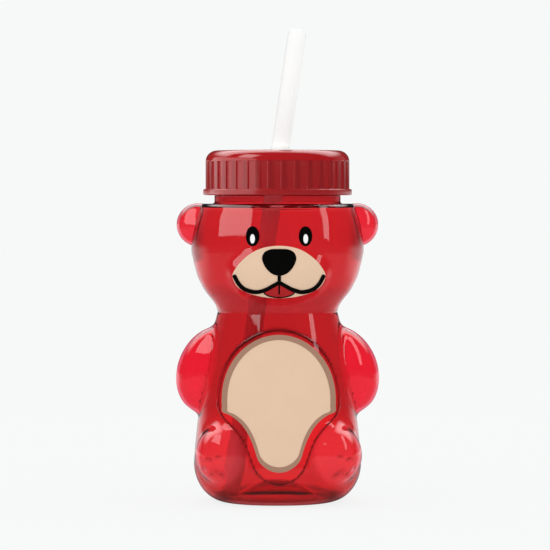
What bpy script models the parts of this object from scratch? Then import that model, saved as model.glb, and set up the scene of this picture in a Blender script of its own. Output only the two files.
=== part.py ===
# Straw bottle in the shape of a sitting bear: a blown bottle with a screw lid, a seal,
# a soft grommet, a straight straw and the printed films of its face and belly.
# Lengths are in metres, +Z is up, the bear looks along -Y, and the origin lies under
# the middle of the base, on the surface that the bottle stands on.

import math

import bmesh
import bpy
import numpy as np
from mathutils import Matrix, Vector
from mathutils.bvhtree import BVHTree
from mathutils.geometry import barycentric_transform

# Clearances and walls
PIECE_GAP = 0.0003
BOTTLE_WALL = 0.0012
FILM_THICKNESS = 0.0002
CUT_OVERRUN = 0.004

# Heights above the surface that the bottle stands on, and how far below the shoulder the
# cheeks and the throat lie
SEAT_HEIGHT = 0.0169
SHOULDER_HEIGHT = 0.1308
CHEEK_DROP = 0.0199
THROAT_DROP = 0.0473
CHEEK_HEIGHT = SHOULDER_HEIGHT - CHEEK_DROP
THROAT_HEIGHT = SHOULDER_HEIGHT - THROAT_DROP

# Widths, and depths to the front and to the back of the axis, of those sections
SEAT_WIDTH = 0.0736
SEAT_FRONT = 0.0352
SEAT_BACK = 0.0358
THROAT_WIDTH = 0.0528
THROAT_FRONT = 0.0262
THROAT_BACK = 0.0262
CHEEK_WIDTH = 0.0760
CHEEK_FRONT = 0.0335
CHEEK_BACK = 0.0345
CROWN_WIDTH = 0.0688
CROWN_FRONT = 0.0332
CROWN_BACK = 0.0336
CROWN_ROUND = 0.0023

# How the sections swell between those heights: height share, size share
TORSO_SHARES = (
    (0.0, 1.0),
    (0.174, 0.915),
    (0.30, 0.83),
    (0.48, 0.68),
    (0.676, 0.465),
    (0.811, 0.30),
    (0.916, 0.136),
    (1.0, 0.0),
)
HEAD_SHARES = (
    (0.0, 0.0),
    (0.088, 0.07),
    (0.179, 0.209),
    (0.307, 0.452),
    (0.434, 0.626),
    (0.562, 0.765),
    (0.69, 0.852),
    (0.836, 0.935),
    (1.0, 1.0),
)
CROWN_SHARES = ((0.0, 0.0), (0.227, 0.06), (0.4545, 0.2), (0.68, 0.43), (0.852, 0.71), (1.0, 1.0))
SECTION_SQUARENESS = 2.2

# Base: a flat standing ring round a pushed-up dome
RING_RADIUS = 0.0195
RING_WIDTH = 0.0030
PUNT_HEIGHT = 0.0080

# Ears: hollow forms that meet the bottle in a crease
EAR_OFFSET = 0.0004
EAR_DROP = 0.0096
EAR_CENTRE = (CROWN_WIDTH / 2 + EAR_OFFSET, 0.0, SHOULDER_HEIGHT - EAR_DROP)
EAR_HALF = (0.0096, 0.0072, 0.0093)

# Arms, feet and muzzle: centre and half sizes, and how softly each runs into the bottle
ARM_OFFSET = 0.0021
ARM_FORWARD = 0.0030
ARM_DROP = 0.0256
ARM_CENTRE = (THROAT_WIDTH / 2 + ARM_OFFSET, -ARM_FORWARD, THROAT_HEIGHT - ARM_DROP)
ARM_HALF = (0.0155, 0.0120, 0.0200)
ARM_LEAN = math.radians(24.0)
ARM_BLEND = 0.0034
FOOT_INSET = 0.0128
FOOT_SETBACK = 0.0130
FOOT_LIFT = 0.0053
FOOT_CENTRE = (SEAT_WIDTH / 2 - FOOT_INSET, FOOT_SETBACK - SEAT_FRONT, SEAT_HEIGHT + FOOT_LIFT)
FOOT_HALF = (0.0122, 0.0138, 0.0130)
FOOT_BLEND = 0.0030
MUZZLE_SETBACK = 0.0070
MUZZLE_DROP = 0.0101
MUZZLE_CENTRE = (0.0, MUZZLE_SETBACK - CHEEK_FRONT, CHEEK_HEIGHT - MUZZLE_DROP)
MUZZLE_HALF = (0.0222, 0.0095, 0.0132)
MUZZLE_BLEND = 0.0036
LOBE_REACH = 0.022

# Neck finish and its thread
NECK_RADIUS = 0.0277
NECK_HEIGHT = 0.0193
NECK_TOP = SHOULDER_HEIGHT + NECK_HEIGHT
THREAD_PITCH = 0.004233
THREAD_DEPTH = 0.00125
THREAD_ROOT = 0.0022
THREAD_CREST = 0.0012
THREAD_TURNS = 1.25
THREAD_DROP = 0.0117
THREAD_START = NECK_TOP - THREAD_DROP
THREAD_SINK = 0.0004
THREAD_FADE_SHARE = 0.12

# Lid
SKIRT_LIFT = 0.0037
SKIRT_BOTTOM = SHOULDER_HEIGHT + SKIRT_LIFT
SKIRT_RADIUS = 0.0327
SKIRT_HEIGHT = 0.0027
RIB_COUNT = 34
RIB_RADIUS = 0.0325
RIB_HEIGHT = 0.0121
RIB_WIDTH_SHARE = 0.52
RIB_FLANK_SHARE = 0.06
RIB_TURN_SHARE = 0.5
LID_RADIUS = 0.0320
LID_SHELF = 0.0003
LID_DOME = 0.0005
LID_WALL = 0.0024
LID_TOP_THICKNESS = 0.0025
RECESS_RADIUS = 0.0100
RECESS_DEPTH = 0.0012
LID_HOLE_RADIUS = 0.0064

# Seal ring and grommet
SEAL_THICKNESS = 0.0012
SEAL_WIDTH = 0.0024
GROMMET_FLANGE_RADIUS = 0.0084
GROMMET_FLANGE = 0.0008
GROMMET_HANG = 0.0016
GROMMET_HOOK = 0.0012
GROMMET_NOSE = 0.0003
GROMMET_BORE_CLEARANCE = 0.00035

# Straw, leaning from near the lid's middle to a corner of the base
STRAW_DIAMETER = 0.0080
STRAW_WALL = 0.0004
STRAW_LENGTH = 0.2052
STRAW_FOOT_INSET = 0.0160
STRAW_FOOT_FORWARD = 0.0060
STRAW_FOOT_LIFT = 0.0046
STRAW_ASIDE = 0.0010
STRAW_FOOT = (STRAW_FOOT_INSET - SEAT_WIDTH / 2, -STRAW_FOOT_FORWARD, STRAW_FOOT_LIFT)

# Belly panel and its film, seen from the front
PANEL_RAISE = 0.0012
PANEL_SINK = 0.0006
PANEL_MARGIN = 0.0028
PANEL_TAIL = 0.0017
BORDER_WIDTH = 0.0026
BELLY_HALF_WIDTH = 0.0238
BELLY_FOOT_DROP = 0.0014
BELLY_TOP_DROP = 0.0094
BELLY_BOTTOM = SEAT_HEIGHT - BELLY_FOOT_DROP
BELLY_TOP = THROAT_HEIGHT - BELLY_TOP_DROP
BELLY_SHOULDER_SHARE = 0.52
BELLY_LOWER_SHARES = (
    (0.997, 0.475),
    (0.990, 0.432),
    (0.850, 0.408),
    (0.695, 0.360),
    (0.580, 0.300),
    (0.490, 0.228),
    (0.430, 0.160),
    (0.392, 0.108),
    (0.345, 0.070),
    (0.255, 0.034),
    (0.135, 0.009),
)
BELLY_ARC_POINTS = 11
BELLY_MIDDLE_SHARE = 0.52
FRONT_START = 0.004
FRONT_REACH = 0.050
CORNER_LIMIT = 0.5
PANEL_EASE_COUNT = 2

# Face films, seen from the front
FACE_HALF_WIDTH = 0.0201
FACE_DROP = 0.0204
FACE_HEIGHT = 0.0223
FACE_BOTTOM = CHEEK_HEIGHT - FACE_DROP
FACE_SHARES = (
    (0.0, 1.0),
    (0.17, 0.99),
    (0.33, 0.962),
    (0.48, 0.912),
    (0.64, 0.825),
    (0.80, 0.70),
    (0.92, 0.56),
    (0.985, 0.44),
    (0.955, 0.32),
    (0.86, 0.20),
    (0.69, 0.11),
    (0.41, 0.035),
    (0.20, 0.008),
    (0.0, 0.0),
)
NOSE_HALF_WIDTH = 0.0073
NOSE_LIFT = 0.0096
NOSE_HEIGHT = 0.0113
NOSE_BOTTOM = FACE_BOTTOM + NOSE_LIFT
NOSE_SHARES = (
    (0.0, 1.0),
    (0.49, 0.985),
    (0.84, 0.88),
    (0.995, 0.68),
    (0.935, 0.475),
    (0.725, 0.245),
    (0.40, 0.065),
    (0.0, 0.0),
)
MOUTH_HALF_WIDTH = 0.0188
MOUTH_LIFT = 0.0027
MOUTH_HEIGHT = 0.0065
MOUTH_BOTTOM = FACE_BOTTOM + MOUTH_LIFT
MOUTH_LINE = 0.0016
MOUTH_STEM_FILLET_SHARE = 0.35
MOUTH_SHARES = (
    (0.0, 0.59),
    (0.13, 0.42),
    (0.315, 0.14),
    (0.53, 0.0),
    (0.77, 0.18),
    (0.91, 0.54),
    (1.0, 1.0),
)
TONGUE_HALF_WIDTH = 0.0060
TONGUE_LIFT = 0.0006
TONGUE_BOTTOM = FACE_BOTTOM + TONGUE_LIFT
TONGUE_MIDDLE_LIFT = 0.0018
TONGUE_PEAK_SLOPE = math.radians(40.0)
EYE_SPREAD = 0.0113
EYE_LIFT = 0.0060
EYE_HEIGHT = CHEEK_HEIGHT + EYE_LIFT
EYE_HALF = (0.0029, 0.0043)
GLINT_DROP = 0.0011
GLINT_HALF = (0.0010, 0.0020)
EYE_POINTS = 20
GLINT_POINTS = 12

# How finely the round shapes are divided
FRONT_COLUMN_SHARES = (
    (0.0, 0.055, 0.11, 0.165, 0.22, 0.265, 0.31, 0.365)
    + (0.43, 0.495, 0.56, 0.625, 0.69, 0.76, 0.84, 0.92, 1.0)
)
BACK_COLUMN_SHARES = (0.055, 0.1, 0.145, 0.19, 0.245, 0.33, 0.46, 0.62, 0.8, 1.0)
HEEL_ROWS = 5
WALL_ROWS = 27
CROWN_ROWS = 3
PUNT_ROWS = 3
SLOPE_STEP = 0.0001
RAY_STEPS = 36
RAY_HALVINGS = 22
DEPTH_SLACK = 1.5
EAR_SIDES = 18
EAR_ROWS = 9
SHARP_EDGE = math.radians(35.0)
LID_SIDES = 68
RING_SIDES = 36
STRAW_SIDES = 24
GROMMET_SIDES = 24
THREAD_STEPS = 30
ROUND_STEPS = 4
BELLY_ROWS = 8
BORDER_ROWS = 2
FACE_ROWS = 7
NOSE_ROWS = 3
TONGUE_ROWS = 3
EYE_ROWS = 2

# Heights and radii that follow from the values above
LID_TOP = NECK_TOP + PIECE_GAP + SEAL_THICKNESS + PIECE_GAP + LID_TOP_THICKNESS
LID_UNDERSIDE = LID_TOP - LID_TOP_THICKNESS
RIB_FOOT = SKIRT_BOTTOM + SKIRT_HEIGHT
RIB_HEAD = RIB_FOOT + RIB_HEIGHT
LID_ROUND = LID_TOP - LID_DOME - RIB_HEAD
LID_BORE = LID_RADIUS - LID_WALL
RECESS_FLOOR = LID_TOP - RECESS_DEPTH
HINGE_HEIGHT = RECESS_FLOOR

# Colours: red, green, blue
COLOURS = {
    "clear_red": (0.62, 0.012, 0.018),
    "lid_red": (0.36, 0.014, 0.018),
    "straw_white": (0.95, 0.95, 0.94),
    "seal_white": (0.80, 0.79, 0.77),
    "tan": (0.776, 0.558, 0.397),
    "brown": (0.381, 0.220, 0.150),
    "black": (0.010, 0.010, 0.009),
    "tongue_red": (0.42, 0.015, 0.018),
    "white": (0.90, 0.90, 0.90),
}


def clear_scene():
    for item in list(bpy.data.objects):
        bpy.data.objects.remove(item, do_unlink=True)


def finish(colour, roughness, transmission=0.0):
    material = bpy.data.materials.new(colour)
    material.use_nodes = True
    shader = material.node_tree.nodes["Principled BSDF"]
    shader.inputs["Base Color"].default_value = (*COLOURS[colour], 1.0)
    shader.inputs["Roughness"].default_value = roughness
    shader.inputs["Metallic"].default_value = 0.0
    shader.inputs["Transmission Weight"].default_value = transmission
    material.diffuse_color = (*COLOURS[colour], 1.0)
    return material


def make_object(name, points, faces, material=None, at=(0.0, 0.0, 0.0), smooth=True):
    # points are in world coordinates; the object's own origin is placed at `at`
    mesh = bpy.data.meshes.new(name)
    origin = Vector(at)
    mesh.from_pydata([Vector(p) - origin for p in points], [], faces)
    work = bmesh.new()
    work.from_mesh(mesh)
    bmesh.ops.recalc_face_normals(work, faces=work.faces)
    work.to_mesh(mesh)
    work.free()
    if smooth:
        mesh.shade_smooth()
        mesh.set_sharp_from_angle(angle=SHARP_EDGE)
    item = bpy.data.objects.new(name, mesh)
    item.location = origin
    bpy.context.scene.collection.objects.link(item)
    if material is not None:
        mesh.materials.append(material)
    return item


def make_tool(name, points, faces, at=(0.0, 0.0, 0.0)):
    # a shape that only joins or cuts another one
    tool = make_object(name, points, faces, at=at, smooth=False)
    tool.hide_render = True
    tool.display_type = "WIRE"
    return tool


def combine(item, tool, operation):
    modifier = item.modifiers.new(tool.name, "BOOLEAN")
    modifier.operation = operation
    modifier.solver = "EXACT"
    modifier.object = tool


def attach(child, parent):
    bpy.context.view_layer.update()
    child.parent = parent
    child.matrix_parent_inverse = parent.matrix_world.inverted()


def stack_rings(rings, first_centre=None, last_centre=None, close=False):
    # Joins rings of equally many points into one skin. Its ends are closed by a fan to a
    # centre point, or the last ring is joined to the first one.
    count = len(rings[0])
    points = [tuple(p) for ring in rings for p in ring]
    faces = []
    spans = len(rings) if close else len(rings) - 1
    for row in range(spans):
        low = row * count
        high = ((row + 1) % len(rings)) * count
        for k in range(count):
            n = (k + 1) % count
            faces.append((low + k, low + n, high + n, high + k))
    if first_centre is not None:
        points.append(tuple(first_centre))
        for k in range(count):
            faces.append((len(points) - 1, (k + 1) % count, k))
    if last_centre is not None:
        base = (len(rings) - 1) * count
        points.append(tuple(last_centre))
        for k in range(count):
            faces.append((len(points) - 1, base + k, base + (k + 1) % count))
    return points, faces


def turned(profile, sides):
    # rings of a turned shape from its (radius, height) profile
    angles = [math.tau * k / sides for k in range(sides)]
    return [[(r * math.cos(a), r * math.sin(a), z) for a in angles] for r, z in profile]


def arc(centre, radius, start, stop, steps):
    # points of a round stretch of a (radius, height) profile
    turns = [start + (stop - start) * k / steps for k in range(steps + 1)]
    return [(centre[0] + radius * math.cos(a), centre[1] + radius * math.sin(a)) for a in turns]


def smooth_through(knots, at):
    # a smooth curve through (place, value) knots that never swings past them
    x = np.array([k[0] for k in knots])
    y = np.array([k[1] for k in knots])
    rise = np.diff(y) / np.diff(x)
    slope = np.empty_like(y)
    slope[0] = rise[0]
    slope[-1] = rise[-1]
    same_way = rise[:-1] * rise[1:] > 0
    both = np.where(same_way, rise[:-1] + rise[1:], 1.0)
    slope[1:-1] = np.where(same_way, 2 * rise[:-1] * rise[1:] / both, 0.0)
    at = np.clip(at, x[0], x[-1])
    k = np.clip(np.searchsorted(x, at) - 1, 0, len(x) - 2)
    span = x[k + 1] - x[k]
    u = (at - x[k]) / span
    start = (1 + 2 * u) * (1 - u) ** 2 * y[k] + u * (1 - u) ** 2 * span * slope[k]
    stop = u * u * (3 - 2 * u) * y[k + 1] + u * u * (u - 1) * span * slope[k + 1]
    return start + stop


def section_knots(seat, throat, cheek, crown):
    # (height, size) knots of one size of the bottle, from the seat up to the crown
    crown_start = SHOULDER_HEIGHT - CROWN_ROUND
    knots = []
    for high, wide in TORSO_SHARES:
        height = SEAT_HEIGHT + high * (THROAT_HEIGHT - SEAT_HEIGHT)
        knots.append((height, throat + wide * (seat - throat)))
    for high, wide in HEAD_SHARES[1:]:
        height = THROAT_HEIGHT + high * (CHEEK_HEIGHT - THROAT_HEIGHT)
        knots.append((height, throat + wide * (cheek - throat)))
    for high, wide in CROWN_SHARES[1:]:
        height = CHEEK_HEIGHT + high * (crown_start - CHEEK_HEIGHT)
        knots.append((height, cheek + wide * (crown - cheek)))
    return knots


SIDE_KNOTS = section_knots(SEAT_WIDTH / 2, THROAT_WIDTH / 2, CHEEK_WIDTH / 2, CROWN_WIDTH / 2)
FRONT_KNOTS = section_knots(SEAT_FRONT, THROAT_FRONT, CHEEK_FRONT, CROWN_FRONT)
BACK_KNOTS = section_knots(SEAT_BACK, THROAT_BACK, CHEEK_BACK, CROWN_BACK)


def section(stage):
    # Height, half width, front and back of the plain bottle. The stage runs over the heel
    # from 0 to 1, up the wall to 2 and over the crown's round edge to 3.
    heel = np.clip(stage, 0.0, 1.0) * math.pi / 2
    wall = np.clip(stage - 1.0, 0.0, 1.0)
    crown = np.clip(stage - 2.0, 0.0, 1.0) * math.pi / 2
    crown_start = SHOULDER_HEIGHT - CROWN_ROUND
    wall_height = SEAT_HEIGHT + wall * (crown_start - SEAT_HEIGHT)
    height = np.where(stage < 1.0, SEAT_HEIGHT * (1 - np.cos(heel)), wall_height)
    height = height + CROWN_ROUND * np.sin(crown)
    sizes = []
    for knots in (SIDE_KNOTS, FRONT_KNOTS, BACK_KNOTS):
        size = smooth_through(knots, wall_height)
        size = np.where(stage < 1.0, RING_RADIUS + (knots[0][1] - RING_RADIUS) * np.sin(heel), size)
        sizes.append(size - CROWN_ROUND * (1 - np.cos(crown)))
    return height, *sizes


def plain_skin(angle, stage):
    # the bottle without its ears, arms, feet and muzzle
    height, side, front, back = section(stage)
    depth = np.where(np.sin(angle) < 0, front, back)
    squareness = SECTION_SQUARENESS
    across = np.abs(np.cos(angle) / side) ** squareness
    along = np.abs(np.sin(angle) / depth) ** squareness
    reach = (across + along) ** (-1 / squareness)
    return np.stack([reach * np.cos(angle), reach * np.sin(angle), height], axis=-1)


def outward(skin, angle, stage):
    # unit normal of a skin, from points a little apart on it
    step = SLOPE_STEP
    near = np.clip(stage, step, 3.0 - step)
    round_way = skin(angle + step, near) - skin(angle - step, near)
    up_way = skin(angle, near + step) - skin(angle, near - step)
    normal = np.cross(round_way, up_way)
    return normal / np.linalg.norm(normal, axis=-1, keepdims=True)


def lobe_distance(points, centre, half, lean=0.0):
    # about how far points lie from an ellipsoid; both sides share one, so X is mirrored
    place = points.copy()
    place[..., 0] = np.abs(place[..., 0])
    place = place - np.array(centre)
    x = place[..., 0] * math.cos(lean) + place[..., 2] * math.sin(lean)
    z = place[..., 2] * math.cos(lean) - place[..., 0] * math.sin(lean)
    place = np.stack([x, place[..., 1], z], axis=-1) / np.array(half)
    near = np.linalg.norm(place, axis=-1)
    steep = np.linalg.norm(place / np.array(half), axis=-1)
    return near * (near - 1) / np.maximum(steep, 1.0)


def soft_join(first, second, blend):
    # the nearer of two distances, with a fillet where they meet
    touch = np.maximum(blend - np.abs(first - second), 0) / blend
    return np.minimum(first, second) - touch * touch * blend / 4


LOBES = (
    (ARM_CENTRE, ARM_HALF, ARM_LEAN, ARM_BLEND),
    (FOOT_CENTRE, FOOT_HALF, 0.0, FOOT_BLEND),
    (MUZZLE_CENTRE, MUZZLE_HALF, 0.0, MUZZLE_BLEND),
)


def bear_skin(angle, stage, depth=0.0):
    # The plain skin pushed out along its normals to the outermost place that lies `depth`
    # inside the joined shape of bottle and lobes.
    angle, stage = np.broadcast_arrays(angle, stage)
    start = plain_skin(angle, stage)
    normal = outward(plain_skin, angle, stage)

    def covered(out):
        places = start + normal * out[..., None]
        inside = out
        for centre, half, lean, blend in LOBES:
            inside = soft_join(inside, lobe_distance(places, centre, half, lean), blend)
        return inside <= -depth

    lowest = -depth * DEPTH_SLACK
    clear = np.full(angle.shape, LOBE_REACH)
    filled = np.full(angle.shape, lowest)
    searching = np.ones(angle.shape, dtype=bool)
    for k in range(RAY_STEPS - 1, 0, -1):
        out = np.full(angle.shape, lowest + (LOBE_REACH - lowest) * k / RAY_STEPS)
        hit = covered(out)
        clear = np.where(searching & ~hit, out, clear)
        filled = np.where(searching & hit, out, filled)
        searching &= ~hit
    for _ in range(RAY_HALVINGS):
        middle = (clear + filled) / 2
        hit = covered(middle)
        clear = np.where(hit, clear, middle)
        filled = np.where(hit, middle, filled)
    return start + normal * filled[..., None]


def columns():
    # angles round the bottle, closer together at its sides, where the arms are
    quarter = math.pi / 2
    side = [-quarter * share for share in FRONT_COLUMN_SHARES[::-1]]
    side += [quarter * share for share in BACK_COLUMN_SHARES]
    return np.array(side + [math.pi - a for a in side[-2:0:-1]])


def stages():
    # how far up the bottle its rows lie
    heel = np.linspace(0.0, 1.0, HEEL_ROWS, endpoint=False)
    wall = np.linspace(1.0, 2.0, WALL_ROWS, endpoint=False)
    crown = np.linspace(2.0, 3.0, CROWN_ROWS + 1)
    return np.concatenate([heel, wall, crown])


def base_rings(angles, lift):
    # rings of the pushed-up dome, out to the inner edge of the standing ring
    inner = RING_RADIUS - RING_WIDTH
    rings = []
    for k in range(1, PUNT_ROWS + 1):
        share = k / PUNT_ROWS
        rings.append(circle(angles, inner * share, lift + PUNT_HEIGHT * (1 - share * share)))
    return rings


def circle(angles, radius, height):
    return [(radius * math.cos(a), radius * math.sin(a), height) for a in angles]


def bottle_skin(depth, neck_radius, neck_end):
    # The whole outer face, or the inner one at a depth, closed across the neck's mouth.
    angles = columns()
    rings = base_rings(angles, depth)
    for stage in stages():
        rings.append(list(bear_skin(angles, np.full(len(angles), stage), depth)))
    rings.append(circle(angles, neck_radius, SHOULDER_HEIGHT - depth))
    rings.append(circle(angles, neck_radius, neck_end))
    return stack_rings(rings, (0.0, 0.0, PUNT_HEIGHT + depth), (0.0, 0.0, neck_end))


def ear_shape(name, side, depth):
    # one ear, or its hollow at a depth inside it; the side is -1 or +1
    wide, thick, high = (size - depth for size in EAR_HALF)
    across, along, up = EAR_CENTRE
    rings = []
    for k in range(1, EAR_ROWS):
        tilt = math.pi * k / EAR_ROWS - math.pi / 2
        ring = []
        for j in range(EAR_SIDES):
            turn = math.tau * j / EAR_SIDES
            x = side * (across + wide * math.cos(tilt) * math.cos(turn))
            y = along + thick * math.cos(tilt) * math.sin(turn)
            ring.append((x, y, up + high * math.sin(tilt)))
        rings.append(ring)
    foot = (side * across, along, up - high)
    head = (side * across, along, up + high)
    return make_tool(name, *stack_rings(rings, foot, head))


def thread_ridge(name, radius, way, start):
    # A right-hand ridge that stands `way` outwards (+1) or inwards (-1) from a wall. Its ends
    # fade into the wall.
    rings = []
    for k in range(THREAD_STEPS + 1):
        share = k / THREAD_STEPS
        angle = math.tau * THREAD_TURNS * share
        fade = min(share, 1 - share) / THREAD_FADE_SHARE
        rise = THREAD_DEPTH * math.sqrt(min(1.0, fade))
        height = start + THREAD_PITCH * THREAD_TURNS * share
        root = radius - way * THREAD_SINK
        crest = radius + way * max(rise, THREAD_SINK / 2)
        section_points = (
            (root, height - THREAD_ROOT / 2),
            (crest, height - THREAD_CREST / 2),
            (crest, height + THREAD_CREST / 2),
            (root, height + THREAD_ROOT / 2),
        )
        rings.append([(r * math.cos(angle), r * math.sin(angle), z) for r, z in section_points])
    points, faces = stack_rings(rings)
    last = len(points) - 4
    faces.append((0, 1, 2, 3))
    faces.append((last + 3, last + 2, last + 1, last))
    return make_tool(name, points, faces)


def mirrored(half):
    # a closed outline from the right half of it, listed from the top down
    left = [(-x, z) for x, z in half[::-1] if x > 0]
    return half + left


def grown(outline, distance):
    # the outline moved outwards by a distance, with its corners kept
    count = len(outline)
    moved = []
    for k in range(count):
        before = Vector(outline[k - 1])
        here = Vector(outline[k])
        after = Vector(outline[(k + 1) % count])
        way_in = (here - before).normalized()
        way_out = (after - here).normalized()
        side_in = Vector((way_in.y, -way_in.x))
        side_out = Vector((way_out.y, -way_out.x))
        side = (side_in + side_out).normalized()
        square = max(side.dot(side_in), CORNER_LIMIT)
        moved.append(tuple(here + side * (distance / square)))
    return moved


def rounded(outline, passes):
    # the outline with its corners eased
    for _ in range(passes):
        eased = []
        for k in range(len(outline)):
            before = Vector(outline[k - 1])
            here = Vector(outline[k])
            after = Vector(outline[(k + 1) % len(outline)])
            eased.append(tuple((before + here * 2 + after) / 4))
        outline = eased
    return outline


def belly_outline():
    # a round top, then inwards past the feet to a round tail
    height = BELLY_TOP - BELLY_BOTTOM
    shoulder = BELLY_BOTTOM + BELLY_SHOULDER_SHARE * height
    half = []
    for k in range(BELLY_ARC_POINTS):
        angle = math.pi / 2 * k / (BELLY_ARC_POINTS - 1)
        half.append((BELLY_HALF_WIDTH * math.sin(angle), shoulder + (BELLY_TOP - shoulder) * math.cos(angle)))
    for wide, high in BELLY_LOWER_SHARES:
        half.append((BELLY_HALF_WIDTH * wide, BELLY_BOTTOM + high * height))
    half.append((0.0, BELLY_BOTTOM))
    return mirrored(half)[::-1]


def panel_outline():
    # the film's outline with a margin, which widens towards its tail
    shoulder = BELLY_BOTTOM + BELLY_SHOULDER_SHARE * (BELLY_TOP - BELLY_BOTTOM)
    lowered = []
    for x, z in rounded(grown(belly_outline(), PANEL_MARGIN), PANEL_EASE_COUNT):
        share = max((shoulder - z) / (shoulder - BELLY_BOTTOM), 0.0)
        lowered.append((x, z - PANEL_TAIL * share))
    return lowered


def share_outline(shares, half_width, bottom, height):
    half = [(half_width * wide, bottom + high * height) for wide, high in shares]
    return mirrored(half)[::-1]


def oval(centre, half, count):
    turns = [math.tau * k / count for k in range(count)]
    return [(centre[0] + half[0] * math.cos(a), centre[1] + half[1] * math.sin(a)) for a in turns]


class FrontFace:
    # The front of the bottle's outer face, from which its panel and films are lifted.

    def __init__(self, points, faces):
        work = bmesh.new()
        verts = [work.verts.new(p) for p in points]
        for face in faces:
            work.faces.new([verts[k] for k in face])
        bmesh.ops.recalc_face_normals(work, faces=work.faces)
        work.normal_update()
        far = [v for v in verts if v.co.y > -FRONT_START or v.co.z > SHOULDER_HEIGHT - CROWN_ROUND]
        bmesh.ops.delete(work, geom=far, context="VERTS")
        work.verts.index_update()
        self.places = [v.co.copy() for v in work.verts]
        self.normals = [v.normal.copy() for v in work.verts]
        self.faces = [[v.index for v in f.verts] for f in work.faces]
        self.rims = []
        for edge in work.edges:
            if edge.is_boundary:
                loop = edge.link_loops[0]
                self.rims.append((loop.vert.index, loop.link_loop_next.vert.index))
        work.free()
        self.triangles = []
        for face in self.faces:
            self.triangles += [(face[0], face[k], face[k + 1]) for k in range(1, len(face) - 1)]
        self.tree = BVHTree.FromPolygons(self.places, self.triangles)

    def lifted(self, place, lift):
        # the spot at a lift off the face that is seen at this place from the front
        start = Vector((place[0], -FRONT_REACH, place[1]))
        spot, _, index, _ = self.tree.ray_cast(start, Vector((0.0, 1.0, 0.0)))
        corners = [self.places[k] for k in self.triangles[index]]
        normals = [self.normals[k] for k in self.triangles[index]]
        normal = barycentric_transform(spot, *corners, *normals).normalized()
        return spot + normal * lift

    def sheet(self, low, high):
        # a closed sheet between two lifts off the face
        count = len(self.places)
        points = [p + n * low for p, n in zip(self.places, self.normals)]
        points += [p + n * high for p, n in zip(self.places, self.normals)]
        faces = [tuple(face[::-1]) for face in self.faces]
        faces += [tuple(count + k for k in face) for face in self.faces]
        faces += [(start, stop, count + stop, count + start) for start, stop in self.rims]
        return points, faces


def prism(name, outline):
    # the outline, as seen from the front, pushed through the front half of the bottle
    near = [(x, -FRONT_REACH, z) for x, z in outline]
    far = [(x, 0.0, z) for x, z in outline]
    count = len(outline)
    faces = [tuple(range(count)), tuple(range(2 * count - 1, count - 1, -1))]
    for k in range(count):
        n = (k + 1) % count
        faces.append((k, count + k, count + n, n))
    return make_tool(name, near + far, faces)


def between(outer, inner, share):
    return [tuple(Vector(p).lerp(Vector(q), share)) for p, q in zip(outer, inner)]


def refined(outline):
    # the outline with a point added halfway along each of its sides
    finer = []
    for k in range(len(outline)):
        finer.append(outline[k - 1])
        finer.append(tuple((Vector(outline[k - 1]) + Vector(outline[k])) / 2))
    return finer


def film(name, face, outline, lifts, material, rows=0, middle=None, inner=None, fill=()):
    # A thin film whose two sides follow the face. Its rows run from the outline to a middle
    # point or to an inner outline. A small shape without rows is filled by the faces given
    # in `fill`, or by one.
    count = len(outline)
    if inner is not None:
        rings = [between(outline, inner, k / rows) for k in range(rows + 1)]
    else:
        rings = [between(outline, [middle or outline[0]] * count, k / rows) for k in range(rows)]
        rings = rings or [outline]
    flat = [place for ring in rings for place in ring]
    sides = []
    for row in range(len(rings) - 1):
        for k in range(count):
            n = (k + 1) % count
            start = row * count
            sides.append((start + k, start + count + k, start + count + n, start + n))
    last = (len(rings) - 1) * count
    if middle is not None:
        flat.append(middle)
        sides += [(last + k, len(flat) - 1, last + (k + 1) % count) for k in range(count)]
    elif inner is None:
        sides += fill or [range(count)]
    total = len(flat)
    points = [face.lifted(place, lift) for lift in lifts for place in flat]
    faces = [tuple(side) for side in sides]
    faces += [tuple(total + k for k in face[::-1]) for face in faces]
    for start in (0, last) if inner is not None else (0,):
        for k in range(count):
            n = start + (k + 1) % count
            faces.append((start + k, n, total + n, total + start + k))
    return make_object(name, points, faces, material)


def mouth_outline():
    # two strokes that meet in the middle, and the line from there up to the nose
    line = []
    for k, share in enumerate(MOUTH_SHARES):
        if k > 0:
            line.append((Vector(MOUTH_SHARES[k - 1]) + Vector(share)) / 2)
        line.append(Vector(share))
    line = [(MOUTH_HALF_WIDTH * w, MOUTH_BOTTOM + h * MOUTH_HEIGHT) for w, h in line]
    half = MOUTH_LINE / 2
    upper = []
    lower = []
    for k, place in enumerate(line):
        here = Vector(place)
        before = Vector(line[max(k - 1, 0)])
        after = Vector(line[min(k + 1, len(line) - 1)])
        way = (after - before).normalized()
        side = Vector((-way.y, way.x))
        upper.append(tuple(here + side * half))
        lower.append(tuple(here - side * half))
    tip = Vector(line[-1]) + (Vector(line[-1]) - Vector(line[-2])).normalized() * half
    stem_top = NOSE_BOTTOM - PIECE_GAP
    stem_foot = (half, upper[0][1] + half * MOUTH_STEM_FILLET_SHARE)
    right = [(half, stem_top), stem_foot] + upper[1:] + [tuple(tip)] + lower[:0:-1]
    bottom = (0.0, lower[0][1])
    left = [(-x, z) for x, z in right[::-1]]
    return right + [bottom] + left


def mouth_faces(count):
    # the mouth's faces, from stroke end to stroke end and up to the nose, by the places of
    # their corners in its outline of `count` points
    reach = (count - 7) // 4
    right = [(k, k + 1, 2 * reach + 3 - k, 2 * reach + 4 - k) for k in range(1, reach + 1)]
    right.append((reach + 1, reach + 2, reach + 3))
    left = [tuple(count - 1 - k for k in face) for face in right]
    return right + left + [(0, 1, 2 * reach + 3, count - 2, count - 1)]


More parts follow.
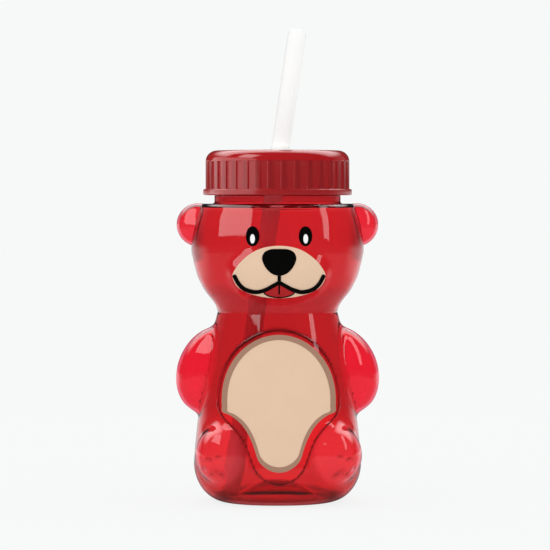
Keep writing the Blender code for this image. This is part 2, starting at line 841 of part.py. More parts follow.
def tongue_outline():
    # the small round tongue below the middle of the mouth, clear of its strokes
    clear = MOUTH_LINE / 2 + PIECE_GAP
    peak = MOUTH_BOTTOM + MOUTH_SHARES[0][1] * MOUTH_HEIGHT - clear / math.cos(TONGUE_PEAK_SLOPE)
    low_side = MOUTH_BOTTOM + MOUTH_SHARES[2][1] * MOUTH_HEIGHT - clear
    half = [(0.0, peak), (TONGUE_HALF_WIDTH, low_side)]
    for k in range(1, ROUND_STEPS):
        angle = math.pi / 2 * k / ROUND_STEPS
        wide = TONGUE_HALF_WIDTH * math.cos(angle)
        half.append((wide, low_side - (low_side - TONGUE_BOTTOM) * math.sin(angle)))
    half.append((0.0, TONGUE_BOTTOM))
    return mirrored(half)[::-1]


def build_bottle(material):
    points, faces = bottle_skin(0.0, NECK_RADIUS, NECK_TOP)
    front = FrontFace(points, faces)
    bottle = make_object("bottle_body", points, faces, material)
    slab = make_tool("belly_panel_shape", *front.sheet(-PANEL_SINK, PANEL_RAISE))
    combine(slab, prism("belly_panel_outline", panel_outline()), "INTERSECT")
    combine(bottle, slab, "UNION")
    inner = bottle_skin(BOTTLE_WALL, NECK_RADIUS - BOTTLE_WALL, NECK_TOP + CUT_OVERRUN)
    cavity = make_tool("bottle_cavity_shape", *inner)
    for side, name in ((-1, "left"), (1, "right")):
        combine(bottle, ear_shape(f"ear_shape_{name}", side, 0.0), "UNION")
        combine(cavity, ear_shape(f"ear_hollow_shape_{name}", side, BOTTLE_WALL), "UNION")
    combine(bottle, thread_ridge("neck_thread_shape", NECK_RADIUS, 1, THREAD_START), "UNION")
    combine(bottle, cavity, "DIFFERENCE")
    return bottle, front


def halved_span(low, high, count):
    # Faces of a flat step between a ring of `count` points from `low` and one of half as
    # many from `high`, in either order round the piece.
    faces = []
    for k in range(0, count, 2):
        j = k // 2
        after = high + (j + 1) % (count // 2)
        faces.append((low + k, low + k + 1, low + (k + 2) % count, after, high + j))
    return faces


def build_lid(material):
    # the outside, with its ribs between a plain skirt band and a rounded top edge
    pitch = math.tau / RIB_COUNT
    half_rib = RIB_WIDTH_SHARE / 2 * pitch
    flank = RIB_FLANK_SHARE * pitch
    ribbed = []
    plain = []
    for k in range(RIB_COUNT):
        middle = (k + RIB_TURN_SHARE) * pitch
        ribbed.append((middle - half_rib - flank, LID_RADIUS))
        ribbed.append((middle - half_rib, RIB_RADIUS))
        ribbed.append((middle + half_rib, RIB_RADIUS))
        ribbed.append((middle + half_rib + flank, LID_RADIUS))
        plain += [middle - half_rib - flank, middle + half_rib]
    skirt = [circle(plain, SKIRT_RADIUS, height) for height in (SKIRT_BOTTOM, RIB_FOOT)]
    points, faces = stack_rings(skirt, first_centre=(0.0, 0.0, SKIRT_BOTTOM))
    skirt_top = len(plain)
    rib_start = len(points)
    count = len(ribbed)
    for height in (RIB_FOOT, RIB_HEAD):
        points += [(r * math.cos(a), r * math.sin(a), height) for a, r in ribbed]
    for k in range(count):
        n = (k + 1) % count
        faces.append((rib_start + k, rib_start + n, rib_start + count + n, rib_start + count + k))
    top_start = len(points)
    rings = []
    centre = (LID_RADIUS - LID_SHELF - LID_ROUND, RIB_HEAD)
    for radius, height in arc(centre, LID_ROUND, 0.0, math.pi / 2, ROUND_STEPS):
        rings.append(circle(plain, radius, height))
    rings.append(circle(plain, RECESS_RADIUS, LID_TOP))
    more_points, more_faces = stack_rings(rings, last_centre=(0.0, 0.0, LID_TOP))
    points += more_points
    faces += [tuple(top_start + k for k in face) for face in more_faces]
    faces += halved_span(rib_start, skirt_top, count)
    faces += halved_span(rib_start + count, top_start, count)
    lid = make_object("screw_lid", points, faces, material, at=(0.0, 0.0, LID_UNDERSIDE))
    hollow = [(LID_BORE, SKIRT_BOTTOM - CUT_OVERRUN), (LID_BORE, LID_UNDERSIDE)]
    combine(lid, revolve_tool("lid_hollow_shape", hollow, LID_SIDES), "DIFFERENCE")
    start = THREAD_START + THREAD_PITCH / 2
    combine(lid, thread_ridge("lid_thread_shape", LID_BORE, -1, start), "UNION")
    recess = [(RECESS_RADIUS, RECESS_FLOOR), (RECESS_RADIUS, LID_TOP + CUT_OVERRUN)]
    combine(lid, revolve_tool("lid_recess_shape", recess, GROMMET_SIDES), "DIFFERENCE")
    hole = [(LID_HOLE_RADIUS, LID_UNDERSIDE - CUT_OVERRUN), (LID_HOLE_RADIUS, LID_TOP + CUT_OVERRUN)]
    combine(lid, revolve_tool("lid_hole_shape", hole, GROMMET_SIDES), "DIFFERENCE")
    return lid


def revolve_tool(name, profile, sides):
    rings = turned(profile, sides)
    low = (0.0, 0.0, profile[0][1])
    high = (0.0, 0.0, profile[-1][1])
    return make_tool(name, *stack_rings(rings, low, high))


def build_seal(material):
    # a flat ring between the bottle's rim and the lid
    low = NECK_TOP + PIECE_GAP
    high = low + SEAL_THICKNESS
    outer = NECK_RADIUS + (LID_BORE - NECK_RADIUS) / 2
    inner = outer - SEAL_WIDTH
    profile = [(outer, low), (outer, high), (inner, high), (inner, low)]
    points, faces = stack_rings(turned(profile, RING_SIDES), close=True)
    return make_object("lid_seal", points, faces, material, at=(0.0, 0.0, low))


def straw_frame():
    # lies in the lid's hole, a little beside its middle, with Z along the straw
    start = Vector((STRAW_ASIDE, 0.0, HINGE_HEIGHT))
    way = start - Vector(STRAW_FOOT)
    turn = Vector((0.0, 0.0, 1.0)).rotation_difference(way)
    return Matrix.Translation(start) @ turn.to_matrix().to_4x4(), way.length


def build_grommet(material):
    # Rests on the recess, passes down the lid's hole and hooks under the lid. Its own hole
    # is slanted to let the straw through.
    neck = LID_HOLE_RADIUS - PIECE_GAP
    flange_low = RECESS_FLOOR + PIECE_GAP
    flange_high = flange_low + GROMMET_FLANGE
    hook_high = LID_UNDERSIDE - PIECE_GAP
    hook_low = hook_high - GROMMET_HANG
    hook = LID_HOLE_RADIUS + GROMMET_HOOK
    profile = [
        (neck - GROMMET_NOSE, hook_low),
        (hook, hook_high - GROMMET_HANG / 2),
        (hook, hook_high),
        (neck, hook_high),
        (neck, flange_low),
        (GROMMET_FLANGE_RADIUS, flange_low),
        (GROMMET_FLANGE_RADIUS, flange_high),
    ]
    rings = turned(profile, GROMMET_SIDES)
    points, faces = stack_rings(rings, (0.0, 0.0, hook_low), (0.0, 0.0, flange_high))
    grommet = make_object("straw_grommet", points, faces, material, at=(0.0, 0.0, HINGE_HEIGHT))
    bore = STRAW_DIAMETER / 2 + GROMMET_BORE_CLEARANCE
    reach = CUT_OVERRUN * 2
    rings = turned([(bore, -reach), (bore, reach)], STRAW_SIDES)
    points, faces = stack_rings(rings, (0.0, 0.0, -reach), (0.0, 0.0, reach))
    tool = make_tool("grommet_bore_shape", points, faces)
    tool.matrix_world, _ = straw_frame()
    combine(grommet, tool, "DIFFERENCE")
    return grommet


def build_straw(material):
    # a straight tube, open at both ends, with its origin at the lid's hole
    frame, below = straw_frame()
    outer = STRAW_DIAMETER / 2
    inner = outer - STRAW_WALL
    low = -below
    high = STRAW_LENGTH - below
    profile = [(outer, low), (outer, high), (inner, high), (inner, low)]
    points, faces = stack_rings(turned(profile, STRAW_SIDES), close=True)
    straw = make_object("straw", points, faces, material)
    straw.matrix_world = frame
    return straw


def build_belly_films(face, materials):
    low = PANEL_RAISE + PIECE_GAP
    lifts = (low, low + FILM_THICKNESS)
    middle = (0.0, BELLY_BOTTOM + BELLY_MIDDLE_SHARE * (BELLY_TOP - BELLY_BOTTOM))
    outer = belly_outline()
    border = {"inner": grown(outer, -BORDER_WIDTH), "rows": BORDER_ROWS}
    field = grown(outer, -BORDER_WIDTH - PIECE_GAP)
    return [
        film("belly_border_film", face, outer, lifts, materials["brown"], **border),
        film("belly_field_film", face, field, lifts, materials["tan"], BELLY_ROWS, middle),
    ]


def build_face_films(face, materials):
    low = PIECE_GAP
    lifts = (low, low + FILM_THICKNESS)
    over_low = lifts[1] + PIECE_GAP
    over = (over_low, over_low + FILM_THICKNESS)
    muzzle = refined(share_outline(FACE_SHARES, FACE_HALF_WIDTH, FACE_BOTTOM, FACE_HEIGHT))
    muzzle_middle = (0.0, FACE_BOTTOM + FACE_HEIGHT / 2)
    nose = share_outline(NOSE_SHARES, NOSE_HALF_WIDTH, NOSE_BOTTOM, NOSE_HEIGHT)
    nose_middle = (0.0, NOSE_BOTTOM + NOSE_HEIGHT / 2)
    mouth = mouth_outline()
    tongue = refined(tongue_outline())
    tongue_middle = (0.0, TONGUE_BOTTOM + TONGUE_MIDDLE_LIFT)
    black = materials["black"]
    films = [
        film("muzzle_film", face, muzzle, lifts, materials["tan"], FACE_ROWS, muzzle_middle),
        film("nose_film", face, nose, over, black, NOSE_ROWS, nose_middle),
        film("mouth_film", face, mouth, over, black, fill=mouth_faces(len(mouth))),
        film("tongue_film", face, tongue, over, materials["tongue_red"], TONGUE_ROWS, tongue_middle),
    ]
    for side, name in ((-1, "left"), (1, "right")):
        middle = (side * EYE_SPREAD, EYE_HEIGHT)
        eye = oval(middle, EYE_HALF, EYE_POINTS)
        films.append(film(f"eye_film_{name}", face, eye, lifts, black, EYE_ROWS, middle))
        middle = (middle[0], middle[1] - GLINT_DROP)
        glint = oval(middle, GLINT_HALF, GLINT_POINTS)
        films.append(film(f"eye_glint_film_{name}", face, glint, over, materials["white"]))
    return films


def main():
    clear_scene()
    materials = {
        "bottle": finish("clear_red", 0.05, 0.9),
        "lid": finish("lid_red", 0.3),
        "straw": finish("straw_white", 0.25, 0.4),
        "seal": finish("seal_white", 0.6),
        "tan": finish("tan", 0.45),
        "brown": finish("brown", 0.45),
        "black": finish("black", 0.4),
        "tongue_red": finish("tongue_red", 0.45),
        "white": finish("white", 0.45),
    }
    bottle, front = build_bottle(materials["bottle"])
    lid = build_lid(materials["lid"])
    seal = build_seal(materials["seal"])
    grommet = build_grommet(materials["seal"])
    straw = build_straw(materials["straw"])
    films = build_belly_films(front, materials) + build_face_films(front, materials)
    for printed in films:
        attach(printed, bottle)
    attach(seal, bottle)
    attach(lid, seal)
    attach(grommet, seal)
    attach(straw, grommet)


main()
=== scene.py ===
import math
from contextlib import contextmanager

import bmesh
import bpy
import numpy as np
from mathutils import Matrix, Vector
from mathutils.bvhtree import BVHTree


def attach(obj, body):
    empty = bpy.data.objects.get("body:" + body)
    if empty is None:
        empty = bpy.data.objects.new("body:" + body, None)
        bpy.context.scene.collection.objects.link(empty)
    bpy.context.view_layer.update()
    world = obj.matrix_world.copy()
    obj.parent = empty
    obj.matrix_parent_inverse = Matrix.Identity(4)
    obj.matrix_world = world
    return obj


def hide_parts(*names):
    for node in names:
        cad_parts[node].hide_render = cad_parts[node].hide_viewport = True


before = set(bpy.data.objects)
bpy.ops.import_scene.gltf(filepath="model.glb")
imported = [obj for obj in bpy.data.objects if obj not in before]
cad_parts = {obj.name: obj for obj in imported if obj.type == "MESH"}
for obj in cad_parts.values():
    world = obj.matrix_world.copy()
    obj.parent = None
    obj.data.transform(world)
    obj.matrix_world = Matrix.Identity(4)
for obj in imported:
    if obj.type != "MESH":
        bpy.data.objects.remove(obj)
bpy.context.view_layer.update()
scene = bpy.context.scene
scene.view_settings.view_transform = "Standard"
print("frame loaded:", len(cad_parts), "nodes")


def deselectAll():
    if bpy.context.object and bpy.context.object.mode != "OBJECT":
        bpy.ops.object.mode_set(mode="OBJECT")
    bpy.ops.object.select_all(action="DESELECT")


def makeActive(piece):
    deselectAll()
    piece.select_set(True)
    bpy.context.view_layer.objects.active = piece


@contextmanager
def editMode(piece, select="SELECT"):
    makeActive(piece)
    bpy.ops.object.mode_set(mode="EDIT")
    bpy.ops.mesh.select_all(action=select)
    yield
    bpy.ops.object.mode_set(mode="OBJECT")


def newPiece(name, points, faces, edges=()):
    mesh = bpy.data.meshes.new(name)
    mesh.from_pydata([tuple(p) for p in points], list(edges), faces)
    piece = bpy.data.objects.new(name, mesh)
    scene.collection.objects.link(piece)
    return piece


def applyModifier(piece, kind, **values):
    makeActive(piece)
    modifier = piece.modifiers.new(kind.lower(), kind)
    for key, value in values.items():
        setattr(modifier, key, value)
    bpy.ops.object.modifier_apply(modifier=modifier.name)


def roundCorners(piece, width, segments, degrees):
    applyModifier(piece, "BEVEL", width=width, segments=segments, limit_method="ANGLE",
                  angle_limit=math.radians(degrees))


def cutOrJoin(piece, tool, operation):
    applyModifier(piece, "BOOLEAN", operation=operation, object=tool, solver="EXACT")
    bpy.data.objects.remove(tool)


def faceOutwards(piece):
    with editMode(piece):
        bpy.ops.mesh.remove_doubles(threshold=1e-6)
        bpy.ops.mesh.normals_make_consistent(inside=False)


def finishPiece(piece, material, degrees, body, slotName, *nodes):
    piece.data.materials.clear()
    piece.data.materials.append(material)
    makeActive(piece)
    bpy.ops.object.shade_smooth_by_angle(angle=math.radians(degrees))
    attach(piece, body)
    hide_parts(*nodes)


def spunPiece(name, profile, steps, closed=True):
    # a (radius, height) profile spun round the upright axis
    count = len(profile)
    edges = [(k, (k + 1) % count) for k in range(count if closed else count - 1)]
    piece = newPiece(name, [(r, 0.0, z) for r, z in profile], [], edges)
    with editMode(piece):
        bpy.ops.mesh.spin(steps=steps, angle=math.tau, center=(0, 0, 0), axis=(0, 0, 1))
    faceOutwards(piece)
    return piece


def arcPoints(centre, radius, start, stop, steps):
    turns = [math.radians(start + (stop - start) * k / steps) for k in range(steps + 1)]
    return [(centre[0] + radius * math.cos(a), centre[1] + radius * math.sin(a)) for a in turns]


def ringFaces(rows, count):
    return [(low + k, low + (k + 1) % count, low + count + (k + 1) % count, low + count + k)
            for low in range(0, (rows - 1) * count, count) for k in range(count)]


def fanFaces(base, count, tip):
    return [(base + k, base + (k + 1) % count, tip) for k in range(count)]


def newGroup(name, inputs, outputs):
    group = bpy.data.node_groups.new(name, "ShaderNodeTree")
    for label, value in inputs.items():
        kind = "NodeSocketColor" if isinstance(value, tuple) else "NodeSocketFloat"
        group.interface.new_socket(label, in_out="INPUT", socket_type=kind).default_value = value
    for label in outputs:
        kind = "NodeSocketColor" if label == "Colour" else "NodeSocketFloat"
        group.interface.new_socket(label, in_out="OUTPUT", socket_type=kind)
    return group, group.nodes.new("NodeGroupInput").outputs, group.nodes.new("NodeGroupOutput")


def feed(tree, node, values):
    # sets each input, or links it where the value is another node's output
    for key, value in values.items():
        if isinstance(value, bpy.types.NodeSocket):
            tree.links.new(value, node.inputs[key])
        else:
            node.inputs[key].default_value = value


def addNode(tree, kind, values=None, **settings):
    node = tree.nodes.new("ShaderNode" + kind)
    for key, value in settings.items():
        setattr(node, key, value)
    feed(tree, node, values or {})
    return node


def calc(tree, operation, first, second=None, clamp=False):
    values = {0: first} if second is None else {0: first, 1: second}
    return addNode(tree, "Math", values, operation=operation, use_clamp=clamp).outputs[0]


def noise(tree, place, scale, detail, roughness=0.5):
    values = {"Vector": place, "Scale": scale, "Detail": detail, "Roughness": roughness}
    return addNode(tree, "TexNoise", values).outputs[0]


def rampNode(tree, source, lowEnd, highEnd, start, stop):
    values = {"Value": source, "From Min": lowEnd, "From Max": highEnd, "To Min": start, "To Max": stop}
    return addNode(tree, "MapRange", values, interpolation_type="SMOOTHSTEP").outputs[0]


def objectPlace(tree):
    return addNode(tree, "TexCoord").outputs["Object"]


def makeHandlingMarks():
    # fine hairline scratches and faint smears, for the glossy pieces
    group, source, result = newGroup(
        "handlingMarks", {"Scale": 300.0, "Base Roughness": 0.05, "Smear": 0.05, "Wave Height": 1.0},
        ("Roughness", "Height"))
    place = objectPlace(group)
    stretched = addNode(group, "Mapping", {"Vector": place, "Rotation": (0.4, 0.9, 0.6), "Scale": (1.0, 14.0, 14.0)})
    hair = calc(group, "SUBTRACT", noise(group, stretched.outputs[0], source["Scale"], 4.0, 0.7), 0.5)
    hairLine = calc(group, "SUBTRACT", 1.0, calc(group, "MULTIPLY", calc(group, "ABSOLUTE", hair), 22.0), clamp=True)
    cloud = calc(group, "SUBTRACT", noise(group, place, 45.0, 3.0), 0.45, clamp=True)
    patch = calc(group, "MULTIPLY", calc(group, "MULTIPLY", cloud, 3.0, clamp=True), source["Smear"])
    marks = calc(group, "MULTIPLY", patch, calc(group, "ADD", hairLine, 0.5))
    wave = calc(group, "MULTIPLY", noise(group, place, 28.0, 1.0, 0.3), source["Wave Height"])
    feed(group, result, {"Roughness": calc(group, "ADD", source["Base Roughness"], marks),
                         "Height": calc(group, "ADD", wave, calc(group, "MULTIPLY", hairLine, -0.01))})
    return group


def makeMouldGrain():
    # fine moulded grain with a slow drift of tone, for the opaque mouldings
    group, source, result = newGroup(
        "mouldGrain", {"Colour": (0.5, 0.5, 0.5, 1.0), "Drift": 0.06, "Grain Scale": 2600.0, "Base Roughness": 0.3},
        ("Colour", "Roughness", "Height"))
    place = objectPlace(group)
    slow = calc(group, "SUBTRACT", noise(group, place, 60.0, 3.0), 0.5)
    value = calc(group, "ADD", 1.0, calc(group, "MULTIPLY", slow, source["Drift"]))
    tone = addNode(group, "HueSaturation", {"Color": source["Colour"], "Value": value})
    feed(group, result, {
        "Colour": tone.outputs[0], "Height": noise(group, place, source["Grain Scale"], 2.0, 0.6),
        "Roughness": calc(group, "ADD", source["Base Roughness"], calc(group, "MULTIPLY", slow, 0.08))})
    return group


def makeInkMottle():
    # screen-printed ink: faint mottle, tiny pinholes and a slightly uneven surface
    grey = (0.5, 0.5, 0.5, 1.0)
    group, source, result = newGroup(
        "inkMottle", {"Ink": grey, "Thin Ink": grey, "Mottle": 0.4}, ("Colour", "Roughness", "Height"))
    place = objectPlace(group)
    fine = noise(group, place, 900.0, 4.0, 0.65)
    slow = noise(group, place, 110.0, 2.0)
    both = calc(group, "SUBTRACT", calc(group, "MULTIPLY", fine, slow), 0.2, clamp=True)
    share = calc(group, "MULTIPLY", calc(group, "MULTIPLY", both, 2.6, clamp=True), source["Mottle"])
    mix = addNode(group, "Mix", data_type="RGBA")
    feed(group, mix, {"Factor": share, "A": source["Ink"], "B": source["Thin Ink"]})
    feed(group, result, {"Colour": mix.outputs["Result"], "Height": fine,
                         "Roughness": calc(group, "ADD", 0.30, calc(group, "MULTIPLY", slow, 0.16))})
    return group


handlingMarks, mouldGrain, inkMottle = makeHandlingMarks(), makeMouldGrain(), makeInkMottle()


def newMaterial(name, colour, values):
    material = bpy.data.materials.new(name)
    material.use_nodes = True
    shader = material.node_tree.nodes["Principled BSDF"]
    feed(material.node_tree, shader, {"Base Color": (*colour, 1.0), **values})
    material.diffuse_color = (*colour, 1.0)
    return material, material.node_tree, shader


def addBump(tree, shader, height, distance, strength):
    bump = addNode(tree, "Bump", {"Height": height, "Distance": distance, "Strength": strength})
    feed(tree, shader, {"Normal": bump.outputs[0]})


plasticFinish = {
    "bodyRed": (0.79, 0.118, 0.135),
    "lidRed": (0.315, 0.0065, 0.0085),
    "strawWhite": (0.985, 0.985, 0.975),
    "softWhite": (0.80, 0.79, 0.77),
}
# colour, how much lighter or darker it is where the ink is thin, how mottled it is, and its gloss
inkFinish = {
    "tan": ((0.776, 0.558, 0.397), 0.90, 0.5, 0.15),
    "brown": ((0.381, 0.220, 0.150), 0.82, 0.5, 0.15),
    "black": ((0.0022, 0.0022, 0.0020), 1.8, 0.6, 0.04),
    "tongue": ((0.43, 0.013, 0.016), 0.85, 0.5, 0.15),
    "white": ((0.92, 0.92, 0.92), 0.93, 0.5, 0.15),
}
polished = {"from": 0.1488, "over": 0.0012, "roughness": 0.10}      # the lid's top, above a height


def makeBottleMaterial():
    material, tree, shader = newMaterial(
        "clearRedPlastic", plasticFinish["bodyRed"], {"Transmission Weight": 1.0, "IOR": 1.49, "Metallic": 0.0})
    marks = addNode(tree, "Group", node_tree=handlingMarks)
    feed(tree, marks, {"Scale": 120.0, "Base Roughness": 0.012, "Smear": 0.05, "Wave Height": 1.0})
    # the wall's tint differs from place to place with its thickness, and it also carries painted shade and painted
    # light
    tint = addNode(tree, "Attribute", attribute_name="wallTintAndPaintedLight")
    feed(tree, shader, {"Base Color": tint.outputs["Color"], "Roughness": marks.outputs["Roughness"]})
    addBump(tree, shader, marks.outputs["Height"], 0.0004, 0.10)
    return material


def makeMouldedMaterial(name, colour, roughness, grain, depth, onLid=False):
    material, tree, shader = newMaterial(name, colour, {})
    values = {"Colour": (*colour, 1.0), "Drift": 0.10, "Grain Scale": grain, "Base Roughness": roughness}
    if onLid:
        height = addNode(tree, "SeparateXYZ", {0: objectPlace(tree)}).outputs["Z"]
        values["Colour"] = addNode(tree, "Attribute", attribute_name="lidTintAndPaintedLight").outputs["Color"]
        values["Base Roughness"] = rampNode(tree, height, polished["from"], polished["from"] + polished["over"],
                                            roughness, polished["roughness"])
    grained = addNode(tree, "Group", node_tree=mouldGrain)
    feed(tree, grained, values)
    feed(tree, shader, {"Base Color": grained.outputs["Colour"], "Roughness": grained.outputs["Roughness"]})
    addBump(tree, shader, grained.outputs["Height"], depth, 0.35)
    return material


def makeInkMaterial(name):
    colour, thin, mottle, gloss = inkFinish[name]
    material, tree, shader = newMaterial(name + "Ink", colour, {"Specular IOR Level": gloss})
    printed = addNode(tree, "Group", node_tree=inkMottle)
    feed(tree, printed, {"Ink": (*colour, 1.0), "Thin Ink": (*(c * thin for c in colour), 1.0), "Mottle": mottle})
    feed(tree, shader, {"Base Color": printed.outputs["Colour"], "Roughness": printed.outputs["Roughness"]})
    addBump(tree, shader, printed.outputs["Height"], 0.00004, 0.4)
    return material


bottleMaterial = makeBottleMaterial()
lidMaterial = makeMouldedMaterial("satinLidRed", plasticFinish["lidRed"], 0.24, 2600.0, 0.00003, onLid=True)
sealMaterial = makeMouldedMaterial("softSealWhite", plasticFinish["softWhite"], 0.55, 1800.0, 0.00006)
inks = {name: makeInkMaterial(name) for name in inkFinish}
print("materials made")


bottleForm = {
    "seat": 0.0169, "throat": 0.0835, "cheek": 0.1109, "shoulder": 0.1308,
    "sides": (0.0368, 0.0264, 0.0380, 0.0344),      # half widths at seat, throat, cheek, crown
    "fronts": (0.0352, 0.0262, 0.0335, 0.0332),
    "backs": (0.0358, 0.0262, 0.0345, 0.0336),
    "crownRound": 0.0023,
    "squareness": 2.2,
    "wall": 0.0012,
    "ringRadius": 0.0225, "ringWidth": 0.0030, "puntHeight": 0.0080, "puntRows": 14,
    "neckRadius": 0.0277, "neckTop": 0.1501, "neckFillet": 0.0010, "rimRound": 0.0005,
    "frontColumns": 180, "backColumns": 96, "heelRows": 30, "wallRows": 186, "crownRows": 8,
    "innerShare": 0.5,                              # how fine the hollow's mesh is, beside the outside's
    "torso": ((0.0, 1.0), (0.174, 0.915), (0.30, 0.83), (0.48, 0.68), (0.676, 0.465), (0.811, 0.30),
              (0.916, 0.136), (0.994, 0.0095), (1.0, 0.0)),
    "head": ((0.012, 0.0100), (0.088, 0.07), (0.179, 0.209), (0.307, 0.452), (0.434, 0.626), (0.562, 0.765),
             (0.69, 0.852), (0.836, 0.935), (1.0, 1.0)),
    "crown": ((0.227, 0.06), (0.4545, 0.2), (0.68, 0.43), (0.852, 0.71), (1.0, 1.0)),
    # centre, half sizes, lean in degrees, fillet
    "arm": ((0.02838, -0.0030, 0.0579), (0.0155, 0.0120, 0.0200), 24.0, 0.0024),
    "foot": ((0.0240, -0.0222, 0.0222), (0.0122, 0.0138, 0.0130), 0.0, 0.0042),
    "muzzle": ((0.0, -0.0265, 0.1010), (0.0213, 0.0095, 0.0126), 0.0, 0.0030),
    "ear": ((0.0348, 0.0, 0.1215), (0.0096, 0.0072, 0.0095), 0.0),
    "innerShoulder": 0.1291,                        # the plastic is thick just under the shoulder
    "reach": 0.022,                                 # how far out the lobes are looked for
    "threadPitch": 0.004233, "threadDepth": 0.00125, "threadTurns": 1.25, "threadStart": 0.1384,
    "threadRoot": 0.0022, "threadCrest": 0.0012,
}


def smoothThrough(knots, at):
    # a smooth curve through (place, value) knots that never swings past them
    x, y = np.array(knots).T
    rise = np.diff(y) / np.diff(x)
    slope = np.empty_like(y)
    slope[0], slope[-1] = rise[0], rise[-1]
    sameWay = rise[:-1] * rise[1:] > 0
    both = np.where(sameWay, rise[:-1] + rise[1:], 1.0)
    slope[1:-1] = np.where(sameWay, 2 * rise[:-1] * rise[1:] / both, 0.0)
    at = np.clip(at, x[0], x[-1])
    k = np.clip(np.searchsorted(x, at) - 1, 0, len(x) - 2)
    span = x[k + 1] - x[k]
    u = (at - x[k]) / span
    start = (1 + 2 * u) * (1 - u) ** 2 * y[k] + u * (1 - u) ** 2 * span * slope[k]
    stop = u * u * (3 - 2 * u) * y[k + 1] + u * u * (u - 1) * span * slope[k + 1]
    return start + stop


def easeStep(value, low, high):
    share = np.clip((value - low) / (high - low), 0.0, 1.0)
    return share * share * (3 - 2 * share)


def sizeKnots(sizes):
    form = bottleForm
    heights = (form["seat"], form["throat"], form["cheek"], form["shoulder"] - form["crownRound"])
    knots = []
    for k, part in enumerate(("torso", "head", "crown")):
        for high, wide in form[part]:
            # the torso narrows upwards, so its shares count from the throat
            near, far = (sizes[1], sizes[0]) if part == "torso" else (sizes[k], sizes[k + 1])
            knots.append((heights[k] + high * (heights[k + 1] - heights[k]), near + wide * (far - near)))
    return knots


formKnots = [sizeKnots(bottleForm[key]) for key in ("sides", "fronts", "backs")]


def sectionAt(stage):
    # height, half width, front and back; the stage runs over the heel to 1, up the wall to 2
    # and over the crown's round edge to 3
    form = bottleForm
    heel = np.clip(stage, 0.0, 1.0) * math.pi / 2
    wall = np.clip(stage - 1.0, 0.0, 1.0)
    crown = np.clip(stage - 2.0, 0.0, 1.0) * math.pi / 2
    wallHeight = form["seat"] + wall * (form["shoulder"] - form["crownRound"] - form["seat"])
    height = np.where(stage < 1.0, form["seat"] * (1 - np.cos(heel)), wallHeight)
    height = height + form["crownRound"] * np.sin(crown)
    sizes = []
    for knots in formKnots:
        size = smoothThrough(knots, wallHeight)
        start = form["ringRadius"] + (knots[0][1] - form["ringRadius"]) * np.sin(heel)
        sizes.append(np.where(stage < 1.0, start, size) - form["crownRound"] * (1 - np.cos(crown)))
    return height, *sizes


def plainSkin(angle, stage):
    height, side, front, back = sectionAt(stage)
    depth = np.where(np.sin(angle) < 0, front, back)
    power = bottleForm["squareness"]
    reach = (np.abs(np.cos(angle) / side) ** power + np.abs(np.sin(angle) / depth) ** power) ** (-1 / power)
    return np.stack([reach * np.cos(angle), reach * np.sin(angle), height], axis=-1)


def outwardOf(skin, angle, stage, step=0.0001):
    near = np.clip(stage, step, 3.0 - step)
    roundWay = skin(angle + step, near) - skin(angle - step, near)
    upWay = skin(angle, near + step) - skin(angle, near - step)
    normal = np.cross(roundWay, upWay)
    return normal / np.linalg.norm(normal, axis=-1, keepdims=True)


def lobeDistance(points, centre, half, lean):
    place = points.copy()
    place[..., 0] = np.abs(place[..., 0])
    place = place - np.array(centre)
    turn = math.radians(lean)
    x = place[..., 0] * math.cos(turn) + place[..., 2] * math.sin(turn)
    z = place[..., 2] * math.cos(turn) - place[..., 0] * math.sin(turn)
    place = np.stack([x, place[..., 1], z], axis=-1) / np.array(half)
    near = np.linalg.norm(place, axis=-1)
    steep = np.linalg.norm(place / np.array(half), axis=-1)
    return near * (near - 1) / np.maximum(steep, 1.0)


def softJoin(first, second, blend):
    touch = np.maximum(blend - np.abs(first - second), 0) / blend
    return np.minimum(first, second) - touch * touch * blend / 4


creaseForm = {"passes": 8, "evenFrom": 0.0006, "evenTo": 0.0012}


def evenCreases(out):
    # the creases beside the arms are steep: their steps are evened out
    form = creaseForm
    for _ in range(form["passes"]):
        sides = [np.roll(out, 1, axis=1), np.roll(out, -1, axis=1)]
        sides += [np.concatenate([out[:1], out[:-1]]), np.concatenate([out[1:], out[-1:]])]
        jump = np.max([np.abs(side - out) for side in sides], axis=0)
        out = out + easeStep(jump, form["evenFrom"], form["evenTo"]) * 0.5 * (np.mean(sides, axis=0) - out)
    return out


def bearSkin(angle, stage, depth=0.0):
    # the plain skin pushed out along its normals to the joined shape of bottle and lobes
    form = bottleForm
    angle, stage = np.broadcast_arrays(angle, stage)
    start = plainSkin(angle, stage)
    normal = outwardOf(plainSkin, angle, stage)

    def covered(out):
        places = start + normal * out[..., None]
        inside = out
        for lobe in ("arm", "foot", "muzzle"):
            inside = softJoin(inside, lobeDistance(places, *form[lobe][:3]), form[lobe][3])
        return inside <= -depth

    lowest, highest, steps = -depth * 1.5, form["reach"], 36
    clear = np.full(angle.shape, highest)
    filled = np.full(angle.shape, lowest)
    searching = np.ones(angle.shape, dtype=bool)
    for k in range(steps - 1, 0, -1):
        out = np.full(angle.shape, lowest + (highest - lowest) * k / steps)
        hit = covered(out)
        clear = np.where(searching & ~hit, out, clear)
        filled = np.where(searching & hit, out, filled)
        searching &= ~hit
    for _ in range(18):
        middle = (clear + filled) / 2
        hit = covered(middle)
        clear = np.where(hit, clear, middle)
        filled = np.where(hit, middle, filled)
    if depth == 0.0:
        filled = evenCreases(filled)
    return start + normal * filled[..., None]


pawForm = {
    "raise": 0.00028, "edge": 0.0007,
    # place across and up, half sizes, seen from the front
    "toes": ((0.0262, 0.0214, 0.0014, 0.0017), (0.0304, 0.0204, 0.0014, 0.0016), (0.0322, 0.0162, 0.0013, 0.0015)),
    "pad": (0.0268, 0.0128, 0.0036, 0.0030),
}


